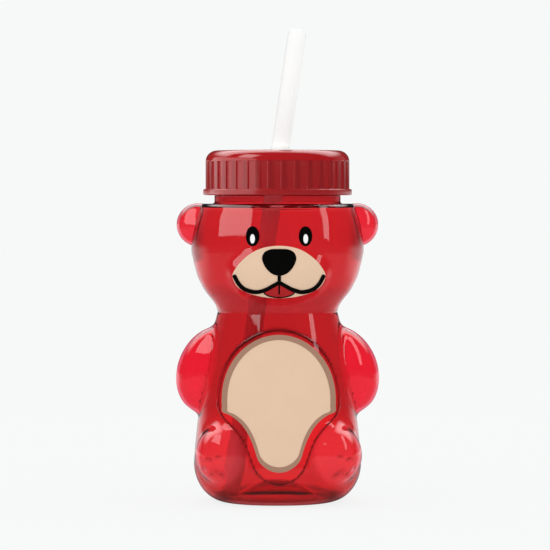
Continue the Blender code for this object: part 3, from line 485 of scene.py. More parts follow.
def pawRaise(points):
    # how far the toes and the pad of each foot stand proud
    x, y, z = np.abs(points[..., 0]), points[..., 1], points[..., 2]
    lift = np.zeros(x.shape)
    for across, up, wide, high in (*pawForm["toes"], pawForm["pad"]):
        place = np.sqrt(((x - across) / wide) ** 2 + ((z - up) / high) ** 2)
        out = (place - 1) * min(wide, high) / pawForm["edge"]
        lift = np.maximum(lift, easeStep(-out, -0.5, 0.5))
    return np.where(y < -0.01, lift * pawForm["raise"], 0.0)


def circleRing(angles, radius, height):
    return np.stack([radius * np.cos(angles), radius * np.sin(angles), np.full(len(angles), height)], axis=-1)


def bottleShell(depth, neckRadius, neckEnd, share=1.0):
    # the outside where the depth is nothing, else the hollow that deep inside it
    form = bottleForm
    fronts, backs, heels, walls, crowns, punts = (int(form[key] * share) for key in (
        "frontColumns", "backColumns", "heelRows", "wallRows", "crownRows", "puntRows"))
    angles = np.concatenate([np.linspace(-math.pi, 0.0, fronts, endpoint=False),
                             np.linspace(0.0, math.pi, backs, endpoint=False)])
    ringInner = form["ringRadius"] - form["ringWidth"]
    rings = [circleRing(angles, ringInner * part, depth + form["puntHeight"] * (1 - part * part))
             for part in (k / punts for k in range(1, punts + 1))]
    stages = np.concatenate([np.linspace(0.0, 1.0, heels, endpoint=False), np.linspace(1.0, 2.0, walls, endpoint=False),
                             np.linspace(2.0, 3.0, crowns + 1)])
    grid = bearSkin(angles[None, :], stages[:, None], depth)
    if depth == 0.0:
        outward = outwardOf(plainSkin, *np.broadcast_arrays(angles[None, :], stages[:, None]))
        grid = grid + outward * pawRaise(grid)[..., None]
        shoulder = form["shoulder"]
    else:
        shoulder = form["innerShoulder"]
        grid[..., 2] = np.minimum(grid[..., 2], shoulder)
    rings += list(grid)
    fillet = form["neckFillet"]
    for turn in np.linspace(0.0, math.pi / 2, 5):
        rings.append(circleRing(angles, neckRadius + fillet * (1 - math.sin(turn)),
                                shoulder + fillet * (1 - math.cos(turn))))
    turns, edge = (np.linspace(0.0, math.pi / 2, 4), form["rimRound"]) if depth == 0.0 else ((0.0,), 0.0)
    for turn in turns:
        rings.append(circleRing(angles, neckRadius - edge * (1 - math.cos(turn)),
                                neckEnd - edge * (1 - math.sin(turn))))
    columns, top = len(angles), len(rings) * len(angles) + 1
    points = [tuple(p) for ring in rings for p in ring]
    points += [(0, 0, form["puntHeight"] + depth), (0, 0, neckEnd)]
    faces = ringFaces(len(rings), columns) + [(top - 1, (k + 1) % columns, k) for k in range(columns)]
    return points, faces + fanFaces((len(rings) - 1) * columns, columns, top)


def earPiece(name, side, depth):
    (across, along, up), half = bottleForm["ear"][:2]
    deselectAll()
    bpy.ops.mesh.primitive_uv_sphere_add(segments=56, ring_count=36, radius=1.0)
    ear = bpy.context.object
    ear.name = name
    ear.scale = tuple(size - depth for size in half)
    ear.location = (side * across, along, up)
    bpy.ops.object.transform_apply(location=True, rotation=True, scale=True)
    return ear


def helixRidge(name, radius, way, start, steps=150):
    # a thread's ridge, outwards where the way is 1 and inwards where it's -1
    form = bottleForm
    rings = []
    for k in range(steps + 1):
        share = k / steps
        angle = math.tau * form["threadTurns"] * share
        rise = form["threadDepth"] * math.sqrt(min(1.0, min(share, 1 - share) / 0.12))
        height = start + form["threadPitch"] * form["threadTurns"] * share
        root, flank, crest = radius - way * 0.0004, radius + way * 0.2 * rise, radius + way * max(rise, 0.0002)
        edge, half, top = crest - way * 0.15 * rise, form["threadRoot"] / 2, form["threadCrest"] / 2
        section = [(root, -half), (flank, -half * 0.9), (edge, -top), (crest, -top * 0.5)]
        section += [(r, -z) for r, z in section[::-1]]
        rings.append([(r * math.cos(angle), r * math.sin(angle), height + z) for r, z in section])
    last = 8 * steps
    faces = ringFaces(len(rings), 8) + [tuple(range(8)), tuple(last + k for k in range(7, -1, -1))]
    piece = newPiece(name, [p for ring in rings for p in ring], faces)
    faceOutwards(piece)
    return piece


class FrontOfBottle:
    # finds the bottle's front face and its normal under a place seen from the front
    def __init__(self, points, faces):
        self.points = np.array(points)
        self.tris = np.array([(face[0], face[k], face[k + 1]) for face in faces for k in range(1, len(face) - 1)])
        a, b, c = (self.points[self.tris[:, k]] for k in range(3))
        self.normals = np.zeros_like(self.points)
        for k in range(3):
            np.add.at(self.normals, self.tris[:, k], np.cross(b - a, c - a))
        self.normals /= np.maximum(np.linalg.norm(self.normals, axis=1, keepdims=True), 1e-12)
        self.tree = BVHTree.FromPolygons([tuple(p) for p in points], self.tris.tolist())

    def lifted(self, x, z, lift):
        place, _, index, _ = self.tree.ray_cast(Vector((x, -0.1, z)), Vector((0, 1, 0)))
        a, b, c = (self.points[k] for k in self.tris[index])
        flat = np.cross(b - a, c - a)
        p = np.array(place)
        u = np.cross(c - b, p - b).dot(flat) / flat.dot(flat)
        v = np.cross(a - c, p - c).dot(flat) / flat.dot(flat)
        na, nb, nc = (self.normals[k] for k in self.tris[index])
        normal = na * u + nb * v + nc * (1 - u - v)
        away = normal * lift / np.linalg.norm(normal)
        return p - away if normal[1] > 0 else p + away

    def drape(self, outline, lift):
        return [tuple(self.lifted(x, z, lift)) for x, z in outline]


def curvePoints(a, b, c, d, between):
    # Catmull-Rom curves from each second to each third of rows of four points
    a, b, c, d = (row[:, None] for row in (a, b, c, d))
    u = (np.arange(between) / between)[:, None]
    curve = 2 * b + (c - a) * u + (2 * a - 5 * b + 4 * c - d) * u * u + (3 * b - a - 3 * c + d) * u ** 3
    return (curve / 2).reshape(-1, 2)


def smoothOutline(outline, between=6):
    return curvePoints(*(np.roll(outline, shift, axis=0) for shift in (1, 0, -1, -2)), between)


def openCurve(points, between=6):
    p = np.vstack([2 * points[0] - points[1], points, 2 * points[-1] - points[-2]])
    return np.vstack([curvePoints(p[:-3], p[1:-2], p[2:-1], p[3:], between), p[-2]])


def grownOutline(outline, distance):
    way = np.roll(outline, -1, axis=0) - outline
    after = way[:, ::-1] * (1, -1) / np.linalg.norm(way, axis=1, keepdims=True)
    before = np.roll(after, 1, axis=0)
    side = (before + after) / np.linalg.norm(before + after, axis=1, keepdims=True)
    return outline + side * (distance / np.maximum((side * before).sum(axis=1, keepdims=True), 0.5))


def mirroredOutline(half):
    # anticlockwise, seen from the front, from the right half listed from the top down
    half = np.array(half)
    other = half[::-1] * (-1, 1)
    return np.vstack([half, other[other[:, 0] < 0]])[::-1]


def drapedSheet(front, outline, centre, steps, rings):
    # a sheet over the bottle's front: (inset, lift) steps at its edge, then rings that shrink to its centre
    rows = [(grownOutline(outline, -inset), lift) for inset, lift in steps]
    last, lift = rows[-1]
    rows += [((last - centre) * (1 - k / rings) + centre, lift) for k in range(1, rings)]
    points = [p for row, height in rows for p in front.drape(row, height)] + front.drape([centre], lift)
    count = len(outline)
    return points, ringFaces(len(rows), count) + fanFaces((len(rows) - 1) * count, count, len(points) - 1)


bellyForm = {
    "halfWidth": 0.0236, "bottom": 0.0157, "top": 0.0741, "shoulderShare": 0.52, "innerShare": (0.907, 0.926),
    "lower": ((0.997, 0.475), (0.990, 0.432), (0.850, 0.408), (0.695, 0.360), (0.580, 0.300), (0.490, 0.228),
              (0.430, 0.160), (0.392, 0.108), (0.345, 0.070), (0.255, 0.034), (0.135, 0.009)),
    "panelMargin": 0.0030, "panelTail": 0.0032, "panelRaise": 0.0012, "panelSink": 0.0006,
    # inset and share of the raise over the panel's round edge
    "panelEdge": ((0.00002, 0.25), (0.00006, 0.6), (0.00018, 0.86), *((0.0004 + 0.0002 * k, 1.0) for k in range(7))),
    "centre": (0.0, 0.045),
}
shoulderHeight = bellyForm["bottom"] + bellyForm["shoulderShare"] * (bellyForm["top"] - bellyForm["bottom"])


def bellyOutline():
    form = bellyForm
    wide, foot, top = form["halfWidth"], form["bottom"], form["top"]
    half = [(wide * math.sin(a), shoulderHeight + (top - shoulderHeight) * math.cos(a))
            for a in np.linspace(0.0, math.pi / 2, 11)]
    return mirroredOutline(half + [(wide * w, foot + h * (top - foot)) for w, h in form["lower"]] + [(0.0, foot)])


def panelOutline():
    outline = grownOutline(bellyOutline(), bellyForm["panelMargin"])
    for _ in range(2):
        outline = (np.roll(outline, 1, axis=0) + 2 * outline + np.roll(outline, -1, axis=0)) / 4
    drop = bellyForm["panelTail"] / (shoulderHeight - bellyForm["bottom"])
    outline[:, 1] -= drop * np.maximum(shoulderHeight - outline[:, 1], 0.0)
    return smoothOutline(outline, 5)


tintForm = {
    # what white light keeps after one wall; the neck's darker tint is painted shade under the lid, and the shoulder's
    # and the panel's lighter tints are painted light
    "torso": (0.770, 0.116, 0.132), "head": (0.845, 0.124, 0.146), "neck": (0.60, 0.100, 0.114),
    "shoulder": (0.93, 0.190, 0.210),
    "arm": (0.985, 0.118, 0.185), "ear": (0.985, 0.150, 0.205), "foot": (0.990, 0.240, 0.280),
    "base": (0.90, 0.112, 0.122), "rear": (0.93, 0.130, 0.150), "panel": (0.95, 0.135, 0.155),
    # the share that each darkened place keeps: painted shade at the neck's top, on the head's sides, on the panel's
    # edge line, at the base's front corners, along the bottom edge and on the paw marks; a band round the chin is
    # darker too
    "neckTop": 0.70, "side": 0.58, "line": 0.12, "baseCornerShade": 0.30, "sole": 0.52, "paw": 0.50, "chin": 0.87,
    # between which heights each begins or ends
    "heights": {"head": (0.081, 0.085), "face": (0.090, 0.097), "side": (0.1052, 0.1058), "shoulder": (0.1276, 0.1286),
                "neck": (0.1308, 0.1312), "neckTop": (0.1322, 0.1345), "rear": (0.030, 0.042), "base": (0.006, 0.012),
                "sole": (0.0022, 0.0042), "line": (0.058, 0.070)},
    "sideShadeEdge": (0.0328, 0.0362), "rearEdge": (0.008, 0.015), "lobeEdge": (0.0004, 0.0016),
    "panelEdge": (0.0007, 0.0012), "panelTop": 0.085, "panelBack": -0.01,
    "lineInset": 0.0005, "lineWidth": 0.00036, "topWidth": 0.0008, "pawShift": (0.0, 0.0, 0.0009),
    "baseCornerShadePlace": (0.0235, 0.0040), "baseCornerShadeHalf": (0.0046, 0.0032),
}


def insetFrom(outline, x, z):
    # how far places lie within an outline, less than nothing outside it
    near = np.full(x.shape, 1.0)
    crossings = np.zeros(x.shape, dtype=int)
    for k in range(len(outline)):
        (x0, z0), (x1, z1) = outline[k], outline[(k + 1) % len(outline)]
        along = np.clip(((x - x0) * (x1 - x0) + (z - z0) * (z1 - z0)) / ((x1 - x0) ** 2 + (z1 - z0) ** 2), 0.0, 1.0)
        near = np.minimum(near, np.hypot(x - x0 - along * (x1 - x0), z - z0 - along * (z1 - z0)))
        if z0 != z1:
            crossings += ((z0 > z) != (z1 > z)) & (x < x0 + (z - z0) * (x1 - x0) / (z1 - z0))
    return np.where(crossings % 2 == 1, near, -near)


def paintPoints(piece, name, colour):
    layer = piece.data.color_attributes.new(name=name, type="FLOAT_COLOR", domain="POINT")
    layer.data.foreach_set("color", np.concatenate([colour, np.ones((len(colour), 1))], axis=1).ravel())


def pointsOf(piece):
    points = np.empty(len(piece.data.vertices) * 3)
    piece.data.vertices.foreach_get("co", points)
    return points.reshape(-1, 3)


def paintWall(bottle):
    form, tint = bottleForm, tintForm
    points = pointsOf(bottle)
    x, y, z = points.T
    across = np.abs(x)
    colour = np.tile(np.array(tint["torso"]), (len(points), 1))

    def lay(part, share):
        colour[:] += (np.array(tint[part]) - colour) * share[:, None]

    def darken(part, share):
        colour[:] *= (1 - (1 - tint[part]) * share)[:, None]

    rise = {part: easeStep(z, *ends) for part, ends in tint["heights"].items()}
    lay("head", rise["head"])
    darken("chin", rise["head"] - rise["face"])
    # the head's sides above the cheeks are darkened: painted shade
    darken("side", easeStep(across, *tint["sideShadeEdge"]) * rise["side"])
    # the crown's top is lightened: painted light
    lay("shoulder", rise["shoulder"])
    # the neck is darkened, most of all at its top: painted shade under the lid's skirt
    lay("neck", rise["neck"])
    darken("neckTop", rise["neckTop"])
    # lighter low down behind the feet
    lay("rear", (y > 0) * (1 - rise["rear"]) * easeStep(across, *tint["rearEdge"]))
    for part in ("arm", "foot", "ear"):
        lay(part, 1 - easeStep(lobeDistance(points, *form[part][:3]), *tint["lobeEdge"]))
    lay("base", 1 - rise["base"])
    # the base's front corners are darkened: painted shade
    (side, up), (wide, high) = tint["baseCornerShadePlace"], tint["baseCornerShadeHalf"]
    darken("baseCornerShade", np.exp(-((across - side) / wide) ** 2 - ((z - up) / high) ** 2) * (y < 0))
    # the bottom edge is darkened: painted shade
    darken("sole", 1 - rise["sole"])
    # each paw mark's upper edge is darkened: painted shade
    darken("paw", np.clip(pawRaise(points) - pawRaise(points + tint["pawShift"]), 0.0, None) / pawForm["raise"])
    # the belly's panel is lightened inside its edge, painted light, and its edge gets a dark line of painted shade
    front = (y < tint["panelBack"]) & (z < tint["panelTop"])
    inset = np.full(len(points), -1.0)
    inset[front] = insetFrom(panelOutline(), x[front], z[front])
    lay("panel", easeStep(inset, *tint["panelEdge"]))
    width = tint["lineWidth"] + (tint["topWidth"] - tint["lineWidth"]) * rise["line"]
    darken("line", np.exp(-((inset - tint["lineInset"]) / width) ** 2))
    paintPoints(bottle, "wallTintAndPaintedLight", colour)


def buildBottle():
    form, belly = bottleForm, bellyForm
    points, faces = bottleShell(0.0, form["neckRadius"], form["neckTop"])
    front = FrontOfBottle(points, faces)
    bottle = newPiece("bearBottle", points, faces)
    faceOutwards(bottle)
    # the panel is a slab that stands proud and is sunk into the wall underneath
    outline, sunk = panelOutline(), (0.0, -belly["panelSink"])
    edge = [sunk] + [(inset, belly["panelRaise"] * share) for inset, share in belly["panelEdge"]]
    points, faces = drapedSheet(front, outline, belly["centre"], edge, 20)
    under, underFaces = drapedSheet(front, outline, belly["centre"], [sunk], 20)
    faces += [tuple(len(points) + k for k in face) for face in underFaces]
    slab = newPiece("panelSlab", points + under, faces)
    faceOutwards(slab)
    cutOrJoin(bottle, slab, "UNION")
    inner = newPiece("cavity", *bottleShell(form["wall"], form["neckRadius"] - form["wall"],
                                            form["neckTop"] + 0.004, form["innerShare"]))
    faceOutwards(inner)
    for side in (-1, 1):
        cutOrJoin(bottle, earPiece("ear", side, 0.0), "UNION")
        cutOrJoin(inner, earPiece("earHollow", side, form["wall"]), "UNION")
    cutOrJoin(bottle, helixRidge("neckThread", form["neckRadius"], 1, form["threadStart"]), "UNION")
    cutOrJoin(bottle, inner, "DIFFERENCE")
    paintWall(bottle)
    finishPiece(bottle, bottleMaterial, 40, "bottle", "clear_red", "bottle_body")
    return bottle, front


bottle, front = buildBottle()
print("bottle:", len(bottle.data.polygons), "faces")


printForm = {"thickness": 0.0002, "gap": 0.0001, "overlap": 0.0003}
faceForm = {
    "halfWidth": 0.0201, "bottom": 0.0905, "height": 0.0223,
    "muzzle": ((0.0, 1.0), (0.17, 0.99), (0.33, 0.962), (0.48, 0.912), (0.64, 0.825), (0.80, 0.70), (0.92, 0.56),
               (0.985, 0.44), (0.955, 0.32), (0.86, 0.20), (0.69, 0.11), (0.41, 0.035), (0.20, 0.008), (0.0, 0.0)),
    "noseHalfWidth": 0.0073, "noseBottom": 0.1001, "noseHeight": 0.0113,
    "nose": ((0.0, 1.0), (0.49, 0.985), (0.84, 0.88), (0.995, 0.68), (0.935, 0.475), (0.725, 0.245), (0.40, 0.065),
             (0.0, 0.0)),
    "mouthHalfWidth": 0.0188, "mouthBottom": 0.0932, "mouthHeight": 0.0065, "stroke": 0.0016,
    "mouth": ((0.0, 0.59), (0.13, 0.42), (0.315, 0.14), (0.53, 0.0), (0.77, 0.18), (0.91, 0.54), (1.0, 1.0)),
    "mouthLift": 0.00012,      # so that the stroke's flat parts don't dip under the muzzle's ink
    "tongueHalfWidth": 0.0066, "tongueBottom": 0.0910, "tongueLineEnd": 0.0926,
    "tongueRim": 0.0005, "tongueLine": 0.0007,      # the widths of its strokes
    "eyeSpread": 0.0113, "eyeHeight": 0.1169, "eyeHalf": (0.0029, 0.0043),
    "glintDrop": 0.0011, "glintHalf": (0.0010, 0.0020),
}


def inkSheet(name, points, faces):
    piece = newPiece(name, points, faces)
    applyModifier(piece, "SOLIDIFY", thickness=printForm["thickness"], offset=-1.0)
    faceOutwards(piece)
    return piece


def printPatch(name, outline, centre, lift, rings, ink, slotName, node):
    piece = inkSheet(name, *drapedSheet(front, outline, centre, [(0.0, lift)], rings))
    finishPiece(piece, inks[ink], 40, "bottle", slotName, node)


def buildBellyPrint():
    form, belly = printForm, bellyForm
    low = belly["panelRaise"] + form["gap"]
    outer = bellyOutline()
    middle = (0.0, (belly["top"] + belly["bottom"]) / 2)      # the field is a smaller copy of the border's outline
    inner = (outer - middle) * belly["innerShare"] + middle
    field = smoothOutline(grownOutline(inner, form["overlap"]))
    printPatch("bellyField", field, belly["centre"], low + form["thickness"], 22, "tan", "tan", "belly_field_film")
    outer, inner, rows = smoothOutline(outer), smoothOutline(inner), 4
    points = [p for k in range(rows + 1)
              for p in front.drape(outer + (inner - outer) * k / rows, low + form["thickness"] * 1.6)]
    piece = inkSheet("bellyBorder", points, ringFaces(rows + 1, len(outer)))
    finishPiece(piece, inks["brown"], 40, "bottle", "brown", "belly_border_film")


def strokePrint(name, path, width, lift, roundStart=False, roundEnd=False):
    # a stroke of constant width along a path
    way = np.vstack([path[1:], path[-1:]]) - np.vstack([path[:1], path[:-1]])
    side = way[:, ::-1] * (-1, 1) / np.linalg.norm(way, axis=1, keepdims=True) * width / 2

    def cap(centre, way):
        turns = math.atan2(way[1], way[0]) - math.pi / 2 + math.pi * np.arange(1, 8) / 8
        return centre + width / 2 * np.stack([np.cos(turns), np.sin(turns)], axis=1)

    ends = [cap(path[-1], way[-1])] if roundEnd else []
    starts = [cap(path[0], -way[0])] if roundStart else []
    points = front.drape(np.vstack([path - side, *ends, (path + side)[::-1], *starts]), lift)
    piece = newPiece(name, points, [tuple(range(len(points)))])
    with editMode(piece):
        bpy.ops.mesh.quads_convert_to_tris(quad_method="BEAUTY", ngon_method="BEAUTY")
    applyModifier(piece, "SOLIDIFY", thickness=printForm["thickness"], offset=-1.0)
    return piece


def upright(top, foot, steps):
    return np.linspace((0.0, top), (0.0, foot), steps + 1)


def shapeOutline(part, halfWidth, bottom, height):
    return smoothOutline(mirroredOutline(np.array(faceForm[part]) * (halfWidth, height) + (0.0, bottom)))


def ovalOutline(centre, half, count=48):
    turns = math.tau * np.arange(count) / count
    return np.stack([np.cos(turns), np.sin(turns)], axis=1) * half + centre


def buildFacePrint():
    form, thickness = faceForm, printForm["thickness"]
    low = printForm["gap"] + thickness
    over = low + thickness
    printPatch("muzzlePrint", shapeOutline("muzzle", form["halfWidth"], form["bottom"], form["height"]),
               (0.0, form["bottom"] + 0.0115), low, 18, "tan", "tan", "muzzle_film")
    printPatch("nosePrint", shapeOutline("nose", form["noseHalfWidth"], form["noseBottom"], form["noseHeight"]),
               (0.0, form["noseBottom"] + 0.0066), over, 8, "black", "black", "nose_film")

    line = np.array(form["mouth"]) * (form["mouthHalfWidth"], form["mouthHeight"]) + (0.0, form["mouthBottom"])
    lift, stroke, wide, foot = over + form["mouthLift"], form["stroke"], form["tongueHalfWidth"], form["tongueBottom"]
    mouth = strokePrint("mouthPrint", openCurve(np.vstack([line[:0:-1] * (-1, 1), line])), stroke, lift, True, True)
    stem = strokePrint("mouthStem", upright(form["noseBottom"] + 0.0004, line[0][1], 6), stroke * 0.9, lift)
    top, sideTop = line[0][1] - stroke * 0.35, line[2][1] - stroke * 0.35
    half = [(0.0, top), (wide, sideTop)]
    half += [(wide * math.cos(a), sideTop - (sideTop - foot) * math.sin(a)) for a in math.pi / 16 * np.arange(1, 8)]
    half = np.array(half + [(0.0, foot)])
    printPatch("tonguePrint", mirroredOutline(half), (0.0, foot + 0.0018), lift - thickness * 0.3, 6,
               "tongue", "tongue_red", "tongue_film")
    border = openCurve(np.vstack([half[1:], half[-2:0:-1] * (-1, 1)]), 2)
    rim = strokePrint("tongueRim", border, form["tongueRim"], lift)
    crease = strokePrint("tongueLine", upright(top, form["tongueLineEnd"], 5), form["tongueLine"], lift, roundEnd=True)
    makeActive(mouth)
    for extra in (stem, rim, crease):
        extra.select_set(True)
    bpy.ops.object.join()
    finishPiece(mouth, inks["black"], 40, "bottle", "black", "mouth_film")

    for side, name in ((-1, "left"), (1, "right")):
        for label, film, ink, size, drop, height, rings in (
                ("eyePrint", "eye_film", "black", form["eyeHalf"], 0.0, low, 6),
                ("eyeGlint", "eye_glint_film", "white", form["glintHalf"], form["glintDrop"], lift, 4)):
            centre = (side * form["eyeSpread"], form["eyeHeight"] - drop)
            printPatch(f"{label}_{name}", ovalOutline(centre, size), centre, height, rings, ink, ink, f"{film}_{name}")


buildBellyPrint()
buildFacePrint()
print("prints made")


lidForm = {
    "skirtBottom": 0.1345, "skirtRadius": 0.0327, "skirtHeight": 0.0027, "skirtEdge": 0.0004, "ribs": 34,
    # the grooves' tone is painted shade, the ribs' edge tone a painted highlight and the dome's tone painted light from
    # above
    "ribProud": 0.0009, "grooveShade": 0.80, "ribTone": 1.0, "ribEdgeHighlight": 1.9, "domeLight": 1.2,
    "ribHeight": 0.0121, "radius": 0.0316, "bore": 0.0296, "dome": 0.0003, "top": 0.1544,
    "underside": 0.1519, "recessRadius": 0.0100, "recessDepth": 0.0012, "holeRadius": 0.0064, "stepsPerRib": 8,
    "ribRound": 0.0002, "turn": -1.2,      # as far on as it's screwed in the photo, in degrees
}


def paintLid(lid, ribFoot, ribHead):
    form = lidForm
    x, y, z = pointsOf(lid).T
    proud = (np.hypot(x, y) - form["radius"]) / form["ribProud"]
    onRibs = (ribFoot < z) & (z < ribHead + 0.0001) & (proud > -0.05)
    # painted shade in the grooves and painted highlights on the ribs' edges
    ribs = np.where(proud < 0.08, form["grooveShade"], np.where(proud > 0.97, form["ribTone"], form["ribEdgeHighlight"]))
    # the dome is lightened: painted light from above
    share = np.where(onRibs, ribs, np.where(z > ribHead, form["domeLight"], 1.0))
    paintPoints(lid, "lidTintAndPaintedLight", np.outer(share, plasticFinish["lidRed"]))


def buildLid():
    form = lidForm
    bore, skirt, radius, recess, hole, foot, under, top, edge = (form[key] for key in (
        "bore", "skirtRadius", "radius", "recessRadius", "holeRadius", "skirtBottom", "underside", "top", "skirtEdge"))
    ribFoot = foot + form["skirtHeight"]
    ribHead = ribFoot + form["ribHeight"]
    roundOver = top - form["dome"] - ribHead
    recessFloor = top - form["recessDepth"]
    profile = [(bore, foot + 0.0003), (bore + 0.0003, foot), (skirt - edge, foot), (skirt, foot + edge),
               (skirt, ribFoot - edge), (skirt - edge, ribFoot), (radius, ribFoot), (radius, ribHead)]
    profile += arcPoints((radius - roundOver, ribHead), roundOver, 0.0, 84.0, 12)
    profile += [(0.020, top - 0.00022), (recess + 0.0005, top - 0.00002), (recess + 0.0001, top - 0.00012),
                (recess, top - 0.0004), (recess, recessFloor), (hole, recessFloor), (hole, under),
                (bore - 0.0006, under), (bore, under - 0.0006)]
    lid = spunPiece("screwLid", profile, form["ribs"] * form["stepsPerRib"])
    pitch = math.tau / form["ribs"]
    with editMode(lid, "DESELECT"):
        for face in bmesh.from_edit_mesh(lid.data).faces:
            middle = face.calc_center_median()
            onWall = ribFoot < middle.z < ribHead and abs(math.hypot(middle.x, middle.y) - radius) < 0.0002
            turn = math.atan2(middle.y, middle.x) % pitch
            face.select = onWall and abs(turn - pitch / 2) < pitch / 4      # a rib in the middle of the front
        bmesh.update_edit_mesh(lid.data)
        bpy.ops.mesh.select_mode(type="FACE")
        bpy.ops.mesh.extrude_region_shrink_fatten(TRANSFORM_OT_shrink_fatten={"value": -form["ribProud"]})
    roundCorners(lid, form["ribRound"], 3, 38)
    lid.data.transform(Matrix.Rotation(math.radians(form["turn"]), 4, "Z"))
    thread = helixRidge("lidThread", bore, -1, bottleForm["threadStart"] + bottleForm["threadPitch"] / 2)
    cutOrJoin(lid, thread, "UNION")
    paintLid(lid, ribFoot, ribHead)
    lid.visible_diffuse = lid.visible_shadow = False      # keeps its red and its shade off the white straw
    finishPiece(lid, lidMaterial, 50, "lid", "lid_red", "screw_lid")
    return lid


sealForm = {"low": 0.1504, "high": 0.1516, "outer": 0.02865, "width": 0.0024, "round": 0.0003}


def buildSeal():
    form, edge = sealForm, sealForm["round"]
    inner, outer = form["outer"] - form["width"] + edge, form["outer"] - edge
    low, high = form["low"] + edge, form["high"] - edge
    corners = ((outer, low), (outer, high), (inner, high), (inner, low))
    profile = [p for k, centre in enumerate(corners) for p in arcPoints(centre, edge, 90 * k - 90, 90 * k, 4)]
    finishPiece(spunPiece("sealRing", profile, 120), sealMaterial, 50, "seal", "seal_white", "lid_seal")


strawForm = {
    "radius": 0.0040, "wall": 0.0004, "length": 0.2052, "tipSlant": 0.375, "tipDrop": 0.0018, "rows": 40,
    "foot": (-0.0208, -0.0060, 0.0046), "hinge": (0.0010, 0.0, 0.1532),
}
strawWay = (Vector(strawForm["hinge"]) - Vector(strawForm["foot"])).normalized()
strawTurn = Vector((0, 0, 1)).rotation_difference(strawWay).to_matrix().to_4x4()


def leanAsStraw(piece):
    makeActive(piece)
    piece.matrix_world = Matrix.Translation(strawForm["hinge"]) @ strawTurn
    bpy.ops.object.transform_apply(location=True, rotation=True, scale=True)


grommetForm = {
    "flangeRadius": 0.0084, "flangeLow": 0.1535, "flangeHigh": 0.1543, "neckRadius": 0.0061, "hookHigh": 0.1516,
    "hookRadius": 0.0076, "hang": 0.0016, "bore": 0.00435, "boreLength": 0.016, "edge": 0.00018, "boreRound": 0.00012,
}


def buildGrommet():
    form = grommetForm
    neck, hook, flange, edge = (form[key] for key in ("neckRadius", "hookRadius", "flangeRadius", "edge"))
    low, high, foot, top = form["hookHigh"] - form["hang"], form["hookHigh"], form["flangeLow"], form["flangeHigh"]
    profile = [(0.0, low), (neck - 0.0003, low), (hook - 0.0002, low + 0.0006), (hook, low + 0.0009),
               (hook, high - edge), (hook - edge, high), (neck, high), (neck, foot), (flange - edge, foot)]
    profile += arcPoints((flange - edge * 2, top - edge * 2), edge * 2, 0, 90, 5) + [(0.0, top)]
    grommet = spunPiece("strawGrommet", profile, 96, closed=False)
    deselectAll()
    bpy.ops.mesh.primitive_cylinder_add(vertices=64, radius=form["bore"], depth=form["boreLength"])
    tool = bpy.context.object
    leanAsStraw(tool)
    cutOrJoin(grommet, tool, "DIFFERENCE")
    roundCorners(grommet, form["boreRound"], 2, 50)
    finishPiece(grommet, sealMaterial, 50, "grommet", "seal_white", "straw_grommet")


def makeStrawMaterial():
    material, tree, shader = newMaterial("milkyStraw", plasticFinish["strawWhite"], {"IOR": 1.35})
    turnBack = tuple(strawTurn.to_3x3().inverted().to_euler())
    align = addNode(tree, "Mapping", {"Vector": objectPlace(tree), "Rotation": turnBack, "Scale": (1.0, 1.0, 0.02)})
    lines = noise(tree, align.outputs[0], 900.0, 3.0)
    addBump(tree, shader, lines, 0.00001, 0.15)
    feed(tree, shader, {"Roughness": calc(tree, "ADD", 0.20, calc(tree, "MULTIPLY", lines, 0.15))})
    return material


def buildStraw():
    form = strawForm
    low = -(Vector(form["hinge"]) - Vector(form["foot"])).length
    high = low + form["length"]
    outer, inner, edge = form["radius"], form["radius"] - form["wall"], form["wall"] / 2
    heights = [low + edge + (high - low - 2 * edge) * k / form["rows"] for k in range(1, form["rows"])]
    profile = arcPoints((inner + edge, low + edge), edge, 180, 360, 6) + [(outer, z) for z in heights]
    profile += arcPoints((inner + edge, high - edge), edge, 0, 180, 6) + [(inner, z) for z in heights[::-1]]
    straw = spunPiece("drinkingStraw", profile, 64)
    for vertex in straw.data.vertices:      # the tip is cut at a slant, higher in front
        if vertex.co.z > high - 0.001:
            vertex.co.z -= form["tipSlant"] * vertex.co.y + form["tipDrop"]
    leanAsStraw(straw)
    finishPiece(straw, makeStrawMaterial(), 60, "straw", "straw_white", "straw")
    return straw


lid = buildLid()
buildSeal()
buildGrommet()
straw = buildStraw()
print("lid, seal, grommet and straw made")


studio = {
    "pale": (0.93, 0.947, 0.939, 1.0), "white": (1.0, 1.0, 1.0, 1.0), "floorGrey": (0.9, 0.9, 0.9, 1.0),
    "floorRadius": 1.6, "floorHeight": -0.0002, "roomGloss": 0.05, "insideLight": 1.45,
    "camera": (-0.0272, -1.2997, 0.1349), "aim": (-0.0011, 0.0, 0.0994), "lens": 193.4,
    "flagLow": 0.1310, "flagHigh": 0.1343, "flagRadius": 0.0300, "flagRed": (0.05, 0.004, 0.004, 1.0),
}
# how brightness runs over the floor and the world: between two places, from one value to another
ramps = {
    "floorBehind": (-0.02, 0.16, 0.08, 0.92), "floorNear": (0.18, 0.50, 0.1, 1.0), "floorFade": (0.25, 0.9, 0.0, 1.0),
    "ambient": (-0.1, 1.0, 0.8225, 1.1375), "roomFloor": (-0.02, 0.05, 1.0, 0.0), "roomBehind": (0.0, 0.45, 0.08, 0.92),
    "ceiling": (0.36, 0.66, 0.0, 3.6), "ceilingBehind": (0.05, 0.30, 0.0, 1.0),
    "bentUp": (0.15, 0.55, 1.0, 0.20), "bentAside": (0.40, 0.80, 0.22, 1.0),
}


def rampedTwice(tree, first, firstRamp, second, secondRamp):
    return calc(tree, "MULTIPLY", rampNode(tree, first, *ramps[firstRamp]), rampNode(tree, second, *ramps[secondRamp]))


def chooseByRay(tree, shade, others):
    # a shade of its own for each kind of ray that's named; the last one that fits wins
    for rays, other in others.items():
        share = addNode(tree, "LightPath").outputs[rays]
        shade = addNode(tree, "MixShader", {0: share, 1: shade, 2: other}).outputs[0]
    return shade


